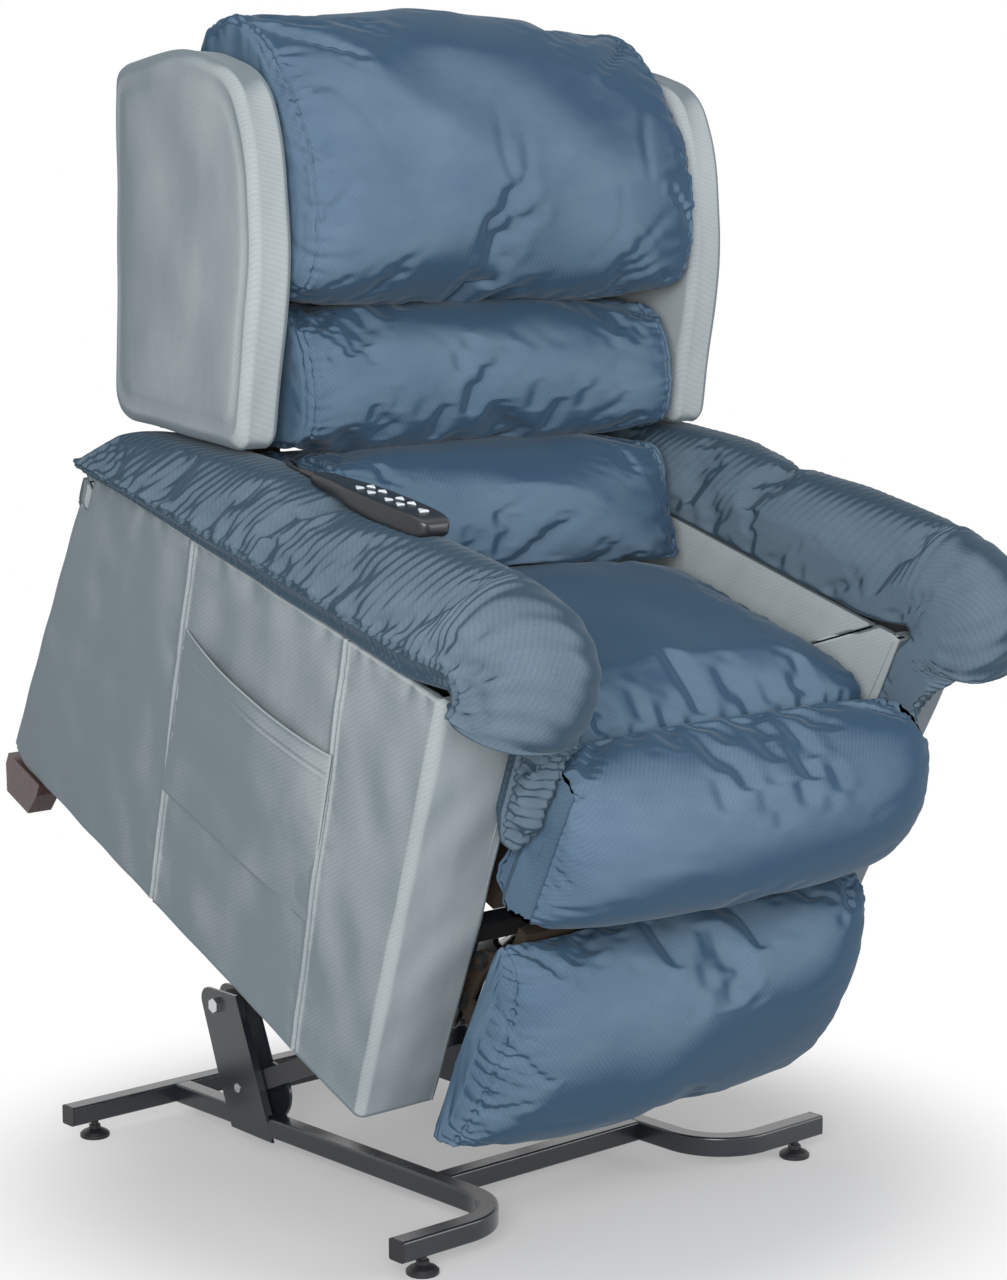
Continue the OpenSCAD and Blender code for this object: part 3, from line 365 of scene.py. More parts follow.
# ---- shader maths ----
class Value:
    """A shader value; arithmetic on it adds Math nodes."""

    def __init__(self, shader, socket):
        self.shader, self.socket = shader, socket

    def maths(self, operation, a, b):
        return self.shader.node("ShaderNodeMath", {"operation": operation}, {0: a, 1: b})

    def __add__(self, other):
        return self.maths("ADD", self, other)

    def __sub__(self, other):
        return self.maths("SUBTRACT", self, other)

    def __rsub__(self, other):
        return self.maths("SUBTRACT", other, self)

    def __mul__(self, other):
        return self.maths("MULTIPLY", self, other)

    __radd__, __rmul__ = __add__, __mul__


def socket_name(key):
    """The shader's own name of a socket that is written base_color or specular_ior_level."""
    return key.replace("_", " ").title().replace("Ior", "IOR")


class Shader:
    """A tree of shader nodes."""

    def __init__(self, tree):
        self.tree = tree

    def node(self, kind, settings, sockets, output=0):
        """A node with its settings, then its sockets' values or links."""
        made = self.tree.nodes.new(kind)
        for key, value in settings.items():
            setattr(made, key, value)
        for key, value in sockets.items():
            if isinstance(value, Value):
                self.tree.links.new(value.socket, made.inputs[key])
            else:
                made.inputs[key].default_value = value
        return Value(self, made.outputs[output])

    def end(self, output, share, near, white):
        """Ends the tree in a mix of its own shader and plain white."""
        mixed = self.node("ShaderNodeMixShader", {}, {0: share, 1: near, 2: white})
        self.tree.links.new(mixed.socket, self.tree.nodes[output].inputs["Surface"])

    def seen(self):
        """1 for the rays that show the background: from the camera, off metal and through glass."""
        return sum(self.node("ShaderNodeLightPath", {}, {}, "Is %s Ray" % kind)
                   for kind in ("Camera", "Glossy", "Transmission"))


class Finish(Shader):
    """One material and the nodes that make it."""

    def __init__(self, name, **fixed):
        self.material = bpy.data.materials.new(name)
        self.material.use_nodes = True
        super().__init__(self.material.node_tree)
        self.shader = self.tree.nodes["Principled BSDF"]
        for key, value in fixed.items():
            self.shader.inputs[socket_name(key)].default_value = value

    def place(self, cloth=False, scale=(1, 1, 1), turn=(0, 0, 0)):
        """Where the pattern lies: the cloth's own map, or the object's coordinates, both in metres."""
        if cloth:
            vector = self.node("ShaderNodeUVMap", {"uv_map": "cloth"}, {})
        else:
            vector = self.node("ShaderNodeTexCoord", {}, {}, "Object")
        return self.node("ShaderNodeMapping", {}, {"Vector": vector, "Scale": scale, "Rotation": turn})

    def noise(self, place, scale, detail=2.0, rough=0.5):
        return self.node("ShaderNodeTexNoise", {}, {"Vector": place, "Scale": scale, "Detail": detail,
                                                    "Roughness": rough}, "Fac")

    def waves(self, place, scale, distortion=0.0, direction="DIAGONAL"):
        return self.node("ShaderNodeTexWave", {"wave_type": "BANDS", "bands_direction": direction},
                         {"Vector": place, "Scale": scale, "Distortion": distortion, "Detail": 1.0,
                          "Detail Scale": 1.5}, "Fac")

    def mix(self, a, b, share):
        return self.node("ShaderNodeMix", {"data_type": "RGBA"}, {0: share, 6: a, 7: b}, 2)

    def bump(self, height, strength, distance):
        return self.node("ShaderNodeBump", {}, {"Height": height, "Strength": strength, "Distance": distance})

    def set(self, **links):
        for key, value in links.items():
            self.tree.links.new(value.socket, self.shader.inputs[socket_name(key)])
        return self.material


def shade(rgb, share):
    """A colour made lighter or darker, with full alpha."""
    return tuple(min(1.0, c * share) for c in rgb[:3]) + (1.0,)


def velvet(name, light, deep, nap):
    """Micro-velvet over a fine twill, in random pale and deep patches of pile, with painted shade: deep where the
    surface is seen edge-on.
    """
    f = Finish(name, sheen_weight=0.15, sheen_roughness=0.4, sheen_tint=(0.74, 0.82, 0.86, 1),
               specular_ior_level=0.12)
    place = f.place(cloth=True)
    stroke = f.place(cloth=True, scale=(1.0, 0.45, 1.0), turn=(0.2, 0.35, 0.5))
    patches = f.noise(stroke, 9.0, 3.0, 0.55)
    marks = f.noise(stroke, 34.0, 2.0, 0.6)
    grain = f.noise(place, 620.0, 2.0, 0.7)
    twill = f.waves(place, 95.0, 0.5)
    pile = (patches * 0.75 + marks * 0.35 - 0.55) * (2.2 * nap) + 0.5
    pile = pile + (twill - 0.5) * 0.08 + (grain - 0.5) * 0.5
    # Painted shade: the colour moves to the deep tone where the surface is seen edge-on.
    slope = f.node("ShaderNodeLayerWeight", {}, {"Blend": 0.5}, "Facing")
    away = f.node("ShaderNodeMapRange", {"interpolation_type": "SMOOTHSTEP"},
                  {"Value": slope, "From Min": 0.28, "From Max": 0.62, "To Min": 0.0, "To Max": 0.8})
    colour = f.mix((*deep, 1), (*light, 1), f.node("ShaderNodeClamp", {}, {"Value": pile - away}))
    return f.set(base_color=colour, roughness=0.8 + grain * 0.16,
                 normal=f.bump(twill * 0.06 + grain * 0.6, 0.35, 0.0006))


def painted(name, colour, roughness, coat=0.0):
    """Powder coat or satin paint with a fine orange peel and dull, dusty patches."""
    f = Finish(name, coat_weight=coat, coat_roughness=0.2)
    place = f.place()
    haze = f.noise(place, 14.0, 4.0, 0.6)
    peel = f.noise(place, 260.0, 2.0, 0.5)
    fine = f.noise(place, 1400.0, 1.0, 0.5)
    base = f.mix(shade(colour, 0.85), shade(colour, 1.25), haze)
    return f.set(base_color=base, roughness=roughness + (haze - 0.5) * 0.11 + fine * 0.05,
                 normal=f.bump(peel + fine * 0.3, 0.14, 0.0004))


def bare_metal(name, colour, roughness):
    """Bright metal with turning or drawing marks and faint spangle."""
    f = Finish(name, metallic=1.0)
    lines = f.noise(f.place(scale=(1, 60, 60)), 22.0, 3.0, 0.6)
    spangle = f.noise(f.place(), 160.0, 1.0, 0.4)
    base = f.mix(shade(colour, 0.72), shade(colour, 1.12), lines * 0.5 + spangle * 0.5)
    return f.set(base_color=base, roughness=roughness + (spangle - 0.5) * 0.3,
                 normal=f.bump(lines, 0.1, 0.0002))


def moulded(name, colour, roughness=0.5, grain=900.0, depth=0.0002):
    """Moulded plastic or rubber with an eroded fine texture."""
    f = Finish(name, specular_ior_level=0.45)
    place = f.place()
    texture = f.noise(place, grain, 3.0, 0.7)
    wear = f.noise(place, 30.0, 4.0, 0.6)
    base = f.mix(shade(colour, 0.88), shade(colour, 1.14), wear)
    return f.set(base_color=base, roughness=roughness + (wear - 0.5) * 0.18 + texture * 0.06,
                 normal=f.bump(texture, 0.25, depth))


def timber(name, light, dark, roughness=0.5, coat=0.0, along=(1.5, 14, 14), rings=3.0):
    """Wood with grain along one axis, pores, and lacquer where coat is set."""
    f = Finish(name, coat_weight=coat, coat_roughness=0.18)
    place = f.place(scale=along)
    wander = f.noise(place, rings, 3.0, 0.55)
    grain = f.node("ShaderNodeMath", {"operation": "FRACT"}, {0: wander * 9.0})
    pores = f.noise(f.place(scale=(along[0] * 2, along[1] * 9, along[2] * 9)), 12.0, 2.0, 0.6)
    base = f.mix(light, dark, grain * 0.55 + pores * 0.45)
    return f.set(base_color=base, roughness=roughness + (pores - 0.5) * 0.25,
                 normal=f.bump(grain * 0.4 + pores, 0.15, 0.0004))


def webbing(name, colour):
    """Woven elastic webbing with a raised rib across it."""
    f = Finish(name, roughness=0.85, specular_ior_level=0.2)
    ribs = f.waves(f.place(turn=(math.radians(2), 0, 0)), 130.0, 0.0, "Z")
    ends = f.waves(f.place(), 220.0, 0.0, "X")
    base = f.mix(shade(colour, 0.7), shade(colour, 1.6), ribs * 0.6 + ends * 0.4)
    return f.set(base_color=base, normal=f.bump(ribs + ends * 0.5, 0.6, 0.0006))


# ---- settings ----
def colour_setting(name, description, default):
    return bpy.props.FloatVectorProperty(name=name, description=description, default=default, size=3,
                                         min=0, max=1, subtype="COLOR")


class RECLINER_PG_cloth(bpy.types.PropertyGroup):
    """Colours and folds of the upholstery."""
    # Painted sheen: the sides' copy of the velvet is lighter and greyer than the cushions', for the sheen on the
    # sides that face the key light.
    side_light: colour_setting("Side, brushed", "Arms and wings where the pile is brushed up", (0.44, 0.475, 0.475))
    # The deep colours are also painted shade, taken where a surface is seen edge-on.
    side_deep: colour_setting("Side, deep", "Arms and wings where the pile lies away", (0.16, 0.195, 0.215))
    # Painted shade: the arm pads take a darker, bluer copy of the sides' velvet, for the shade on their up-facing
    # tops.
    pad_light: colour_setting("Arm pad, brushed", "Arm pads where the pile is brushed up", (0.155, 0.205, 0.25))
    pad_deep: colour_setting("Arm pad, deep", "Arm pads where the pile lies away", (0.03, 0.058, 0.088))
    seat_light: colour_setting("Cushion, brushed", "Cushions where the pile is brushed up", (0.15, 0.215, 0.285))
    seat_deep: colour_setting("Cushion, deep", "Cushions where the pile lies away", (0.028, 0.066, 0.115))
    gather: bpy.props.FloatProperty(name="Gathers", description="Depth of the folds at the sewn ends",
                                    default=0.0034, min=0, max=0.008, unit="LENGTH")
    swell: bpy.props.FloatProperty(name="Swell", description="Furthest that the stuffing pushes the cloth out",
                                   default=0.022, min=0, max=0.03, unit="LENGTH")


class RECLINER_PG_steel(bpy.types.PropertyGroup):
    """Colours of the paint and plastic."""
    base_paint: colour_setting("Base paint", "Powder coat of the lift base", (0.012, 0.015, 0.02))
    lift_paint: colour_setting("Linkage paint", "Paint of the lift and legrest links", (0.02, 0.021, 0.024))
    motor_shell: colour_setting("Motor shell", "Plastic of the motors and the control box", (0.018, 0.019, 0.021))
    handset_shell: colour_setting("Handset", "Plastic of the handset", (0.012, 0.014, 0.017))
    key_rubber: colour_setting("Keys", "Rubber of the handset's keys", (0.55, 0.60, 0.64))


class RECLINER_PG_studio(bpy.types.PropertyGroup):
    """Camera and light."""
    lens: bpy.props.FloatProperty(name="Lens", description="Focal length", default=81.72, min=20, max=200)
    azimuth: bpy.props.FloatProperty(name="Azimuth", description="Camera's turn about the chair",
                                     default=math.radians(-41.99), subtype="ANGLE")
    elevation: bpy.props.FloatProperty(name="Elevation", description="Camera's height above the horizon",
                                       default=math.radians(8.185), subtype="ANGLE")
    place: bpy.props.FloatVectorProperty(name="Place", description="Camera's place", size=3,
                                         default=(-2.3703, -2.6444, 1.1871), subtype="TRANSLATION", unit="LENGTH")
    key_power: bpy.props.FloatProperty(name="Key light", description="Power of the key light in watts", default=165)
    room_light: bpy.props.FloatProperty(name="Room light", description="Strength of the even light", default=0.42)


# ---- operators ----
FINISHES = {}
WHITE = (1, 1, 1, 1)


class RECLINER_OT_finishes(bpy.types.Operator):
    """Make the finishes and give the frame's own pieces theirs"""
    bl_idname = "recliner.finishes"
    bl_label = "Finishes"

    def execute(self, context):
        cloth, steel = context.scene.recliner_cloth, context.scene.recliner_steel
        # Copies of one velvet: the sides' is lighter and greyer, a painted sheen; the arm pads' is darker and
        # bluer, painted shade.
        for name, tone, nap in (("side", "side", 0.24), ("pad", "pad", 0.24), ("cushion", "seat", 0.3)):
            light, deep = (getattr(cloth, tone + kind) for kind in ("_light", "_deep"))
            FINISHES[name + "_fabric"] = velvet(name + "_velvet", light, deep, nap)
        FINISHES.update(
            steel_base=painted("base_powder_coat", steel.base_paint, 0.24, coat=0.4),
            steel_lift=painted("link_paint", steel.lift_paint, 0.36),
            zinc=bare_metal("zinc_plate", (0.62, 0.63, 0.65), 0.34),
            black_plastic=moulded("black_plastic", (0.012, 0.012, 0.014), 0.42),
            motor_plastic=moulded("motor_plastic", steel.motor_shell, 0.52),
            rod_steel=bare_metal("rod_steel", (0.68, 0.69, 0.7), 0.2),
            spring_steel=bare_metal("spring_steel", (0.16, 0.17, 0.19), 0.42),
            # Painted shade: the frame's wood is darkened to the dark of the gaps that it shows through.
            frame_wood=timber("shade_darkened_frame", (0.045, 0.032, 0.022, 1), (0.022, 0.015, 0.010, 1), 0.6),
            foot_wood=timber("foot_mahogany", (0.052, 0.021, 0.017, 1), (0.016, 0.006, 0.006, 1), 0.35, 0.5,
                             along=(14, 14, 2), rings=2.0),
            strap_webbing=webbing("strap_webbing", (0.02, 0.02, 0.022)),
            handset_plastic=moulded("handset_plastic", steel.handset_shell, 0.3, 1500.0, 0.0001),
            button_plastic=moulded("key_rubber", steel.key_rubber, 0.55, 1200.0, 0.0001),
            cord_rubber=moulded("cord_rubber", (0.012, 0.012, 0.013), 0.5))
        for part in frame["record"]["subparts"]:
            node = NODES[part["node"]]
            node.data.materials.clear()
            node.data.materials.append(FINISHES[part["material_slot"]])
        return {"FINISHED"}


class RECLINER_OT_stage(bpy.types.Operator):
    """Set up the camera, the lights and the pale floor"""
    bl_idname = "recliner.stage"
    bl_label = "Stage"

    def execute(self, context):
        scene, studio = context.scene, context.scene.recliner_studio
        camera = bpy.data.objects.new("studio_camera", bpy.data.cameras.new("studio_camera"))
        camera.data.lens, camera.data.sensor_width = studio.lens, SENSOR
        camera.data.clip_end = 200
        camera.location = studio.place
        a, e = studio.azimuth, studio.elevation
        back = Vector((math.sin(a) * math.cos(e), -math.cos(a) * math.cos(e), math.sin(e)))
        camera.rotation_mode = "QUATERNION"
        camera.rotation_quaternion = (-back).to_track_quat("-Z", "Y")
        scene.collection.objects.link(camera)
        scene.camera = camera
        aim = Vector((0, 0, 0.6))
        for name, place, size, share in (("key", (-3.0, -2.8, 1.7), 2.0, 1), ("top", (-0.6, -0.6, 3.6), 2.2, 0.12),
                                         ("fill", (2.4, -3.6, 1.0), 2.4, 0.42)):
            lamp = bpy.data.objects.new(name, bpy.data.lights.new(name, "AREA"))
            lamp.data.size, lamp.data.energy = size, studio.key_power * share
            lamp.location = place
            lamp.rotation_euler = (aim - Vector(place)).to_track_quat("-Z", "Y").to_euler()
            scene.collection.objects.link(lamp)
        world = bpy.data.worlds.new("studio_room")
        world.use_nodes = True
        even = world.node_tree.nodes["Background"]
        even.inputs["Color"].default_value, even.inputs["Strength"].default_value = WHITE, studio.room_light
        room = Shader(world.node_tree)
        white = room.node("ShaderNodeBackground", {}, {"Color": WHITE})
        room.end("World Output", room.seen(), Value(room, even.outputs[0]), white)
        scene.world = world
        scene.view_settings.view_transform = "Standard"
        bpy.ops.mesh.primitive_circle_add(vertices=96, radius=30, fill_type="NGON", location=(0, 0, 0))
        floor = context.object
        floor.name = "studio_floor"
        floor.data.materials.append(self.floor_paint())
        return {"FINISHED"}

    def floor_paint(self):
        """White floor that keeps the shadow near the chair and fades into the room further out."""
        f = Finish("floor_paint", base_color=(0.62, 0.62, 0.63, 1), roughness=0.9, specular_ior_level=0.1)
        away = f.node("ShaderNodeVectorMath", {"operation": "LENGTH"}, {0: f.place()}, "Value")
        glow = f.node("ShaderNodeMapRange", {"interpolation_type": "SMOOTHSTEP"},
                      {"Value": away, "From Min": 0.4, "From Max": 0.8, "To Min": 0.27, "To Max": 1.0})
        light = f.node("ShaderNodeEmission", {}, {"Color": WHITE, "Strength": 1.0})
        f.end("Material Output", glow * f.seen(), Value(f, f.shader.outputs[0]), light)
        return f.material


# ---- the arms' own shape, in millimetres of the lowered chair ----
ARM_OUT_LOW = 384
ARM_FLARE = math.radians(4.95)
ARM_TOP_FRONT, ARM_TOP_REAR, ARM_LENGTH_TOP, ARM_LENGTH_LOW, FRONT_LEAN = 598, 503, 721, 778, 29
ARM_ROUND = 9
TOP_SLOPE = (ARM_TOP_REAR - ARM_TOP_FRONT) / (ARM_LENGTH_TOP - FRONT_LEAN - 2 * ARM_ROUND)


def out_x(h):
    """Distance of an arm's outer face from the centre plane at a height."""
    return ARM_OUT_LOW + (h - ARM_CLEAR) * math.tan(ARM_FLARE)


def arm_top(a):
    """Height of an arm's top at a distance behind the arms' front edge."""
    return ARM_TOP_FRONT + ARM_ROUND * (math.hypot(1, TOP_SLOPE) - 1) + TOP_SLOPE * (a - FRONT_LEAN - ARM_ROUND)


CORD_ROUTE = [(x, a, arm_top(476) + up) for x, a, up in (  # the handset's end first
    (-350, 452, 110), (-332, 474, 103), (-311, 488, 91), (-296, 496, 79), (-285, 500, 63), (-281, 501, 44),
    (-280.5, 500, 14))] + [
    (-280.5, 494, 500), (-280.5, 480, 450), (-280.5, 463, 408), (-279, 452, 384), (-269, 449, 364),
    (-259, 449, 356), (-252, 449, 342), (-242, 449, 337), (-224, 449, 335), (-200, 449, 335)]
HANDSET_FOOT = (-358, 388, arm_top(388) + 104.2)
HANDSET_LIFT = math.radians(14)
HANDSET_T = 21
CORD_D = 4.4


def on_handset(points):
    """Points of the handset's own frame as points of the lowered chair."""
    p = np.asarray(points, float)
    y, z = turned(p[..., 1], p[..., 2], -HANDSET_LIFT)
    return np.stack([p[..., 0] + HANDSET_FOOT[0], y + HANDSET_FOOT[1], z + HANDSET_FOOT[2]], -1)


class RECLINER_OT_handset(bpy.types.Operator):
    """Make the handset with its slim neck, its deep head and its keys"""
    bl_idname = "recliner.handset"
    bl_label = "Handset"
    key_foot = 21.4
    keys = [(side * 9, along) for along in (-86, -106, -136, -156) for side in (-1, 1)] + [(0, -184)]
    # Sections from the cord's end forward: along, half width, underside, top
    sections = ((-1, 9, 5.5, 15.5), (-6, 13.5, 3.2, 17.8), (-24, 16, 2.2, 19.4), (-52, 18.5, 1.6, 20.4),
                (-72, 23.5, 0.8, 21.0), (-100, 26, -1.8, 21.2), (-130, 26.8, -4.6, 21.2), (-160, 26.8, -6.2, 21.1),
                (-188, 25.6, -6.0, 20.6), (-204, 22.5, -3.4, 18.8), (-213, 16.5, 1.5, 15.6))

    def execute(self, context):
        self.shell()
        self.relief()
        for number, place in enumerate(self.keys, 1):
            self.key(number, place)
        return {"FINISHED"}

    def start(self, kind, name, **size):
        """A primitive of the handset's own frame, in millimetres, open in edit mode."""
        bpy.ops.object.select_all(action="DESELECT")
        getattr(bpy.ops.mesh, "primitive_%s_add" % kind)(location=(0, 0, 0), **size)
        piece = bpy.context.object
        piece.name = name
        bpy.ops.object.mode_set(mode="EDIT")
        return piece

    def cut(self, places, normal):
        """Cuts the mesh across at places along an axis."""
        for place in places:
            bpy.ops.mesh.select_all(action="SELECT")
            bpy.ops.mesh.bisect(plane_co=[place * n for n in normal], plane_no=normal)

    def pick(self, piece, test):
        """Selects the points that pass a test."""
        bpy.ops.mesh.select_mode(type="VERT")
        bpy.ops.mesh.select_all(action="DESELECT")
        bpy.ops.object.mode_set(mode="OBJECT")
        for v in piece.data.vertices:
            v.select = test(v.co)
        bpy.ops.object.mode_set(mode="EDIT")

    def ring(self, piece, y, scale=(1, 1, 1), move=(0, 0, 0)):
        """Scales the ring of points at y about its middle, then moves it."""
        self.pick(piece, lambda co: abs(co.y - y) < 0.01)
        bpy.ops.transform.resize(value=scale, center_override=(0, y, 0))
        bpy.ops.transform.translate(value=move)

    def tools(self, piece, *tools):
        """Adds modifiers, each a name, a kind and its settings, and applies them."""
        bpy.ops.object.mode_set(mode="OBJECT")
        for name, kind, settings in tools:
            tool = piece.modifiers.new(name, kind)
            for key, value in settings.items():
                setattr(tool, key, value)
            apply_tool(piece, tool)

    def settle(self, piece, slot, nodes, body, smooth=180):
        """Moves a piece from the handset's own frame to its place on the arm."""
        piece.scale = (MM, MM, MM)
        piece.rotation_euler = (TILT - HANDSET_LIFT, 0, 0)
        piece.location = in_chair(on_handset((0, 0, 0)))
        bpy.ops.object.transform_apply(location=True, rotation=True, scale=True)
        bpy.ops.object.shade_smooth_by_angle(angle=math.radians(smooth))
        finish_piece(piece, body, slot, nodes)

    def shell(self):
        """A cube cut into rings, each ring moved and scaled to its section of the shell."""
        piece = self.start("cube", "handset_shell", size=2)
        cuts = len(self.sections) - 1
        self.cut([1 - 2 * k / cuts for k in range(1, cuts)], (0, 1, 0))
        self.cut((-0.55, 0.55), (1, 0, 0))
        for k in reversed(range(cuts + 1)):                      # from the far end, so that no two rings meet
            (along, half, low, high), y = self.sections[k], 1 - 2 * k / cuts
            self.ring(piece, y, (half, 1, (high - low) / 2), (0, along - y, (high + low) / 2))
        self.tools(piece, ("edges", "BEVEL", {"width": 4.5, "segments": 2, "limit_method": "ANGLE",
                                              "angle_limit": math.radians(50)}), ("skin", "SUBSURF", {"levels": 2}))
        self.settle(piece, "handset_plastic", ["handset"], "seat_unit")

    def relief(self):
        """The ribbed sleeve round the cord: a cylinder whose rings are drawn in and let out in turn."""
        length, rings, rib = 30, 25, 0.8
        piece = self.start("cylinder", "handset_strain_relief", vertices=24, radius=1, depth=length,
                           rotation=(math.pi / 2, 0, 0))
        bpy.ops.object.mode_set(mode="OBJECT")
        bpy.ops.object.transform_apply(location=True, rotation=True, scale=True)
        bpy.ops.object.mode_set(mode="EDIT")
        places = [length / 2 - length * k / rings for k in range(rings + 1)]
        self.cut(places[1:-1], (0, 1, 0))
        for k, y in enumerate(places):
            radius = 3.0 + 2.2 * k / rings - (rib if k % 2 else 0.0)
            self.ring(piece, y, (radius, 1, radius))
        bpy.ops.mesh.select_all(action="SELECT")
        bpy.ops.transform.translate(value=(0, 12, HANDSET_T / 2))
        self.tools(piece)
        self.settle(piece, "cord_rubber", [], "seat_unit", 40)

    def key(self, number, place):
        """A rubber key: a three-cornered prism with rounded corners and a softened top; the front one is wider."""
        wide = 8.6 if number == len(self.keys) else 7.2
        piece = self.start("cylinder", "key_%d" % number, vertices=3, radius=wide, depth=3.2)
        self.pick(piece, lambda co: co.z > 0)
        bpy.ops.transform.resize(value=(0.9, 0.9, 1), center_override=(0, 0, 0))
        if number % 2 == 0:
            bpy.ops.mesh.select_all(action="SELECT")
            bpy.ops.transform.resize(value=(-1, -1, 1), center_override=(0, 0, 0))
        bpy.ops.mesh.select_all(action="SELECT")
        bpy.ops.transform.translate(value=(*place, self.key_foot))
        self.tools(piece, ("corners", "BEVEL", {"width": 1.5, "segments": 4, "limit_method": "ANGLE"}))
        self.settle(piece, "button_plastic", ["button_%d" % number], "button_%d_cap" % number, 40)


class RECLINER_OT_cord(bpy.types.Operator):
    """Lay the handset's cord over the arm and down to the control box"""
    bl_idname = "recliner.cord"
    bl_label = "Handset cord"

    def execute(self, context):
        ends = on_handset([(0, 26, HANDSET_T / 2), (0, 36, HANDSET_T / 2)])
        line = in_chair(smooth_line(np.vstack([ends, CORD_ROUTE]), 6))
        curve = bpy.data.curves.new("handset_lead", "CURVE")
        curve.dimensions = "3D"
        spline = curve.splines.new("POLY")
        spline.points.add(len(line) - 1)
        for point, place in zip(spline.points, line):
            point.co = (*place, 1)
        curve.bevel_depth = CORD_D / 2 * MM
        curve.bevel_resolution = 4
        curve.use_fill_caps = True
        lead = bpy.data.objects.new("handset_lead", curve)
        context.scene.collection.objects.link(lead)
        curve.materials.append(FINISHES["cord_rubber"])
        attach(lead, "seat_unit")
        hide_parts("handset_cord")
        return {"FINISHED"}


class RECLINER_OT_seat(bpy.types.Operator):
    """Make the seat cushion and the roll over its front edge"""
    bl_idname = "recliner.seat"
    bl_label = "Seat"

    def execute(self, context):
        self.cushion(context)
        self.roll(context)
        return {"FINISHED"}

    def cushion(self, context):
        frame_top, front_edge, half = 402, 20, 277
        outline = [[22, 402], [15.5, 470], [23, 528], [60, 543], [160, 536], [280, 521], [360, 504], [422, 474],
                   [428, 405], [300, 390], [120, 390]]
        p, depth = filled(context, outline, (200, 440), half, (0.84, 0.76),
                          lambda a, h: (h < frame_top) | (a < front_edge), 3, (14, 0.7, 55, 13), (1.2, 70), rows=4)
        p = pushed(p, depth)
        p[..., 2] = np.maximum(p[..., 2], 389.5)                 # it lies on the springs
        p[..., 0] = np.clip(p[..., 0], -half - 1, half + 1)
        finish_piece(grid_mesh("seat_pad", in_chair(p)), "seat_unit", "cushion_fabric", ["seat_cushion"])

    def roll(self, context):
        board, seam = 8, 334                                     # the face that it is sewn to and its lower seam
        outline = [[12, 532], [-30, 541], [-84, 524], [-120, 480], [-129, 430], [-112, 371], [-62, 333], [-12, 342],
                   [22, 352], [26, 382], [13, 404], [11, 432], [11, 480]]
        creases = (((-250, 452), (-180, 462), (-120, 455)), ((-240, 405), (-190, 398)),
                   ((265, 470), (205, 476), (150, 470)), ((262, 400), (215, 408), (160, 402)))
        p, depth = filled(context, outline, (-4, 430), 300, (0.28, 0.86), lambda a, h: a > board, 11,
                          (6.5, 1, 62, 10), (1.4, 110), 4.5, 0.025)
        foot = np.abs(p[..., 2] - seam) + 60 * (p[..., 1] > -40)
        depth += (1 - step(p[..., 1], -30, 0)) * front_folds(context, p, creases, 15, foot, 17, 34, 0.4)
        wide = np.abs(p[..., 0])
        p = pushed(p, depth)
        p[..., 1] = np.minimum(p[..., 1], 29.5)
        room = 303 - 18.5 * step(p[..., 1], -72, -58) - 6.5 * step(p[..., 1], -12, -1)   # narrower between the arms
        p[..., 0] = np.sign(p[..., 0]) * np.minimum(wide, room)
        finish_piece(grid_mesh("front_roll", in_chair(p)), "seat_unit", "cushion_fabric", ["seat_front_roll"])


class RECLINER_OT_footrest(bpy.types.Operator):
    """Make the padded footrest"""
    bl_idname = "recliner.footrest"
    bl_label = "Footrest"

    def execute(self, context):
        board, seam = -32, 26
        outline = [[-27, 36], [-44, 20], [-80, 31], [-112, 90], [-127, 170], [-120, 244], [-94, 292], [-60, 308],
                   [-29, 298], [-27, 170]]
        creases = (((-262, 110), (-200, 96), (-140, 100)), ((255, 80), (190, 92), (130, 84)),
                   ((-255, 240), (-205, 252)), ((260, 215), (214, 222), (170, 214)))
        p, depth = filled(context, outline, (-34, 180), 294, (0.26, 0.9), lambda a, h: a > board, 21,
                          (6.5, 1, 62, 10), (1.5, 115), 4.5, 0.025)
        foot = np.clip(p[..., 2] - seam, 0, None)
        depth += (1 - step(p[..., 1], -60, -40)) * front_folds(context, p, creases, 25, foot, 16, 40, 0.45)
        p = pushed(p, depth)
        p[..., 1] = np.minimum(p[..., 1], -25.3)                 # it lies on its board
        finish_piece(grid_mesh("footrest_cover", in_chair(p)), "footrest", "cushion_fabric", ["footrest_pad"])
        return {"FINISHED"}


PILLOWS = (  # name, node, half width, end, centre, seed, outline as (forward, along), creases as (x, along)
    ("head_rest", "head_pillow", 316, (0.68, 0.88), (190, 300), 31,
     [[236, 153], [286, 164], [306, 215], [298, 290], [266, 362], [200, 446], [138, 480], [77, 466],
      [58, 436], [97, 412], [128, 370], [127, 270], [127, 170], [184, 154]],
     (((-20, 375), (-34, 320), (-22, 262), (-40, 205)), ((10, 345), (-4, 296), (-26, 236)),
      ((-270, 408), (-226, 372), (-196, 320)), ((-284, 330), (-240, 306), (-205, 268)),
      ((-286, 268), (-246, 258), (-214, 232)), ((250, 392), (222, 352), (214, 300)),
      ((282, 262), (240, 250), (206, 226)), ((120, 195), (156, 232), (160, 290)))),
    ("middle_rest", "middle_pillow", 300, (0.72, 0.92), (195, 62), 41,
     [[134, -14], [230, -20], [268, -14], [285, 14], [282, 60], [266, 108], [236, 134], [186, 140], [134, 136],
      [130, 60]],
     (((-270, 92), (-214, 80), (-170, 92)), ((-274, 40), (-226, 34), (-180, 44)), ((-60, 100), (-22, 92), (8, 98)),
      ((66, 104), (98, 96), (130, 100)), ((-110, -4), (-96, 26), (-112, 50)), ((-44, -8), (-52, 22), (-40, 42)),
      ((268, 70), (220, 78), (180, 66)))),
    ("lumbar_rest", "lumbar_pillow", 273, (0.74, 0.9), (220, -90), 51,
     [[132, -38], [240, -37], [292, -47], [320, -110], [344, -170], [334, -178], [262, -146], [160, -112],
      [132, -98]],
     (((-180, -70), (-120, -78), (-70, -70)), ((120, -96), (170, -84), (215, -90)))))


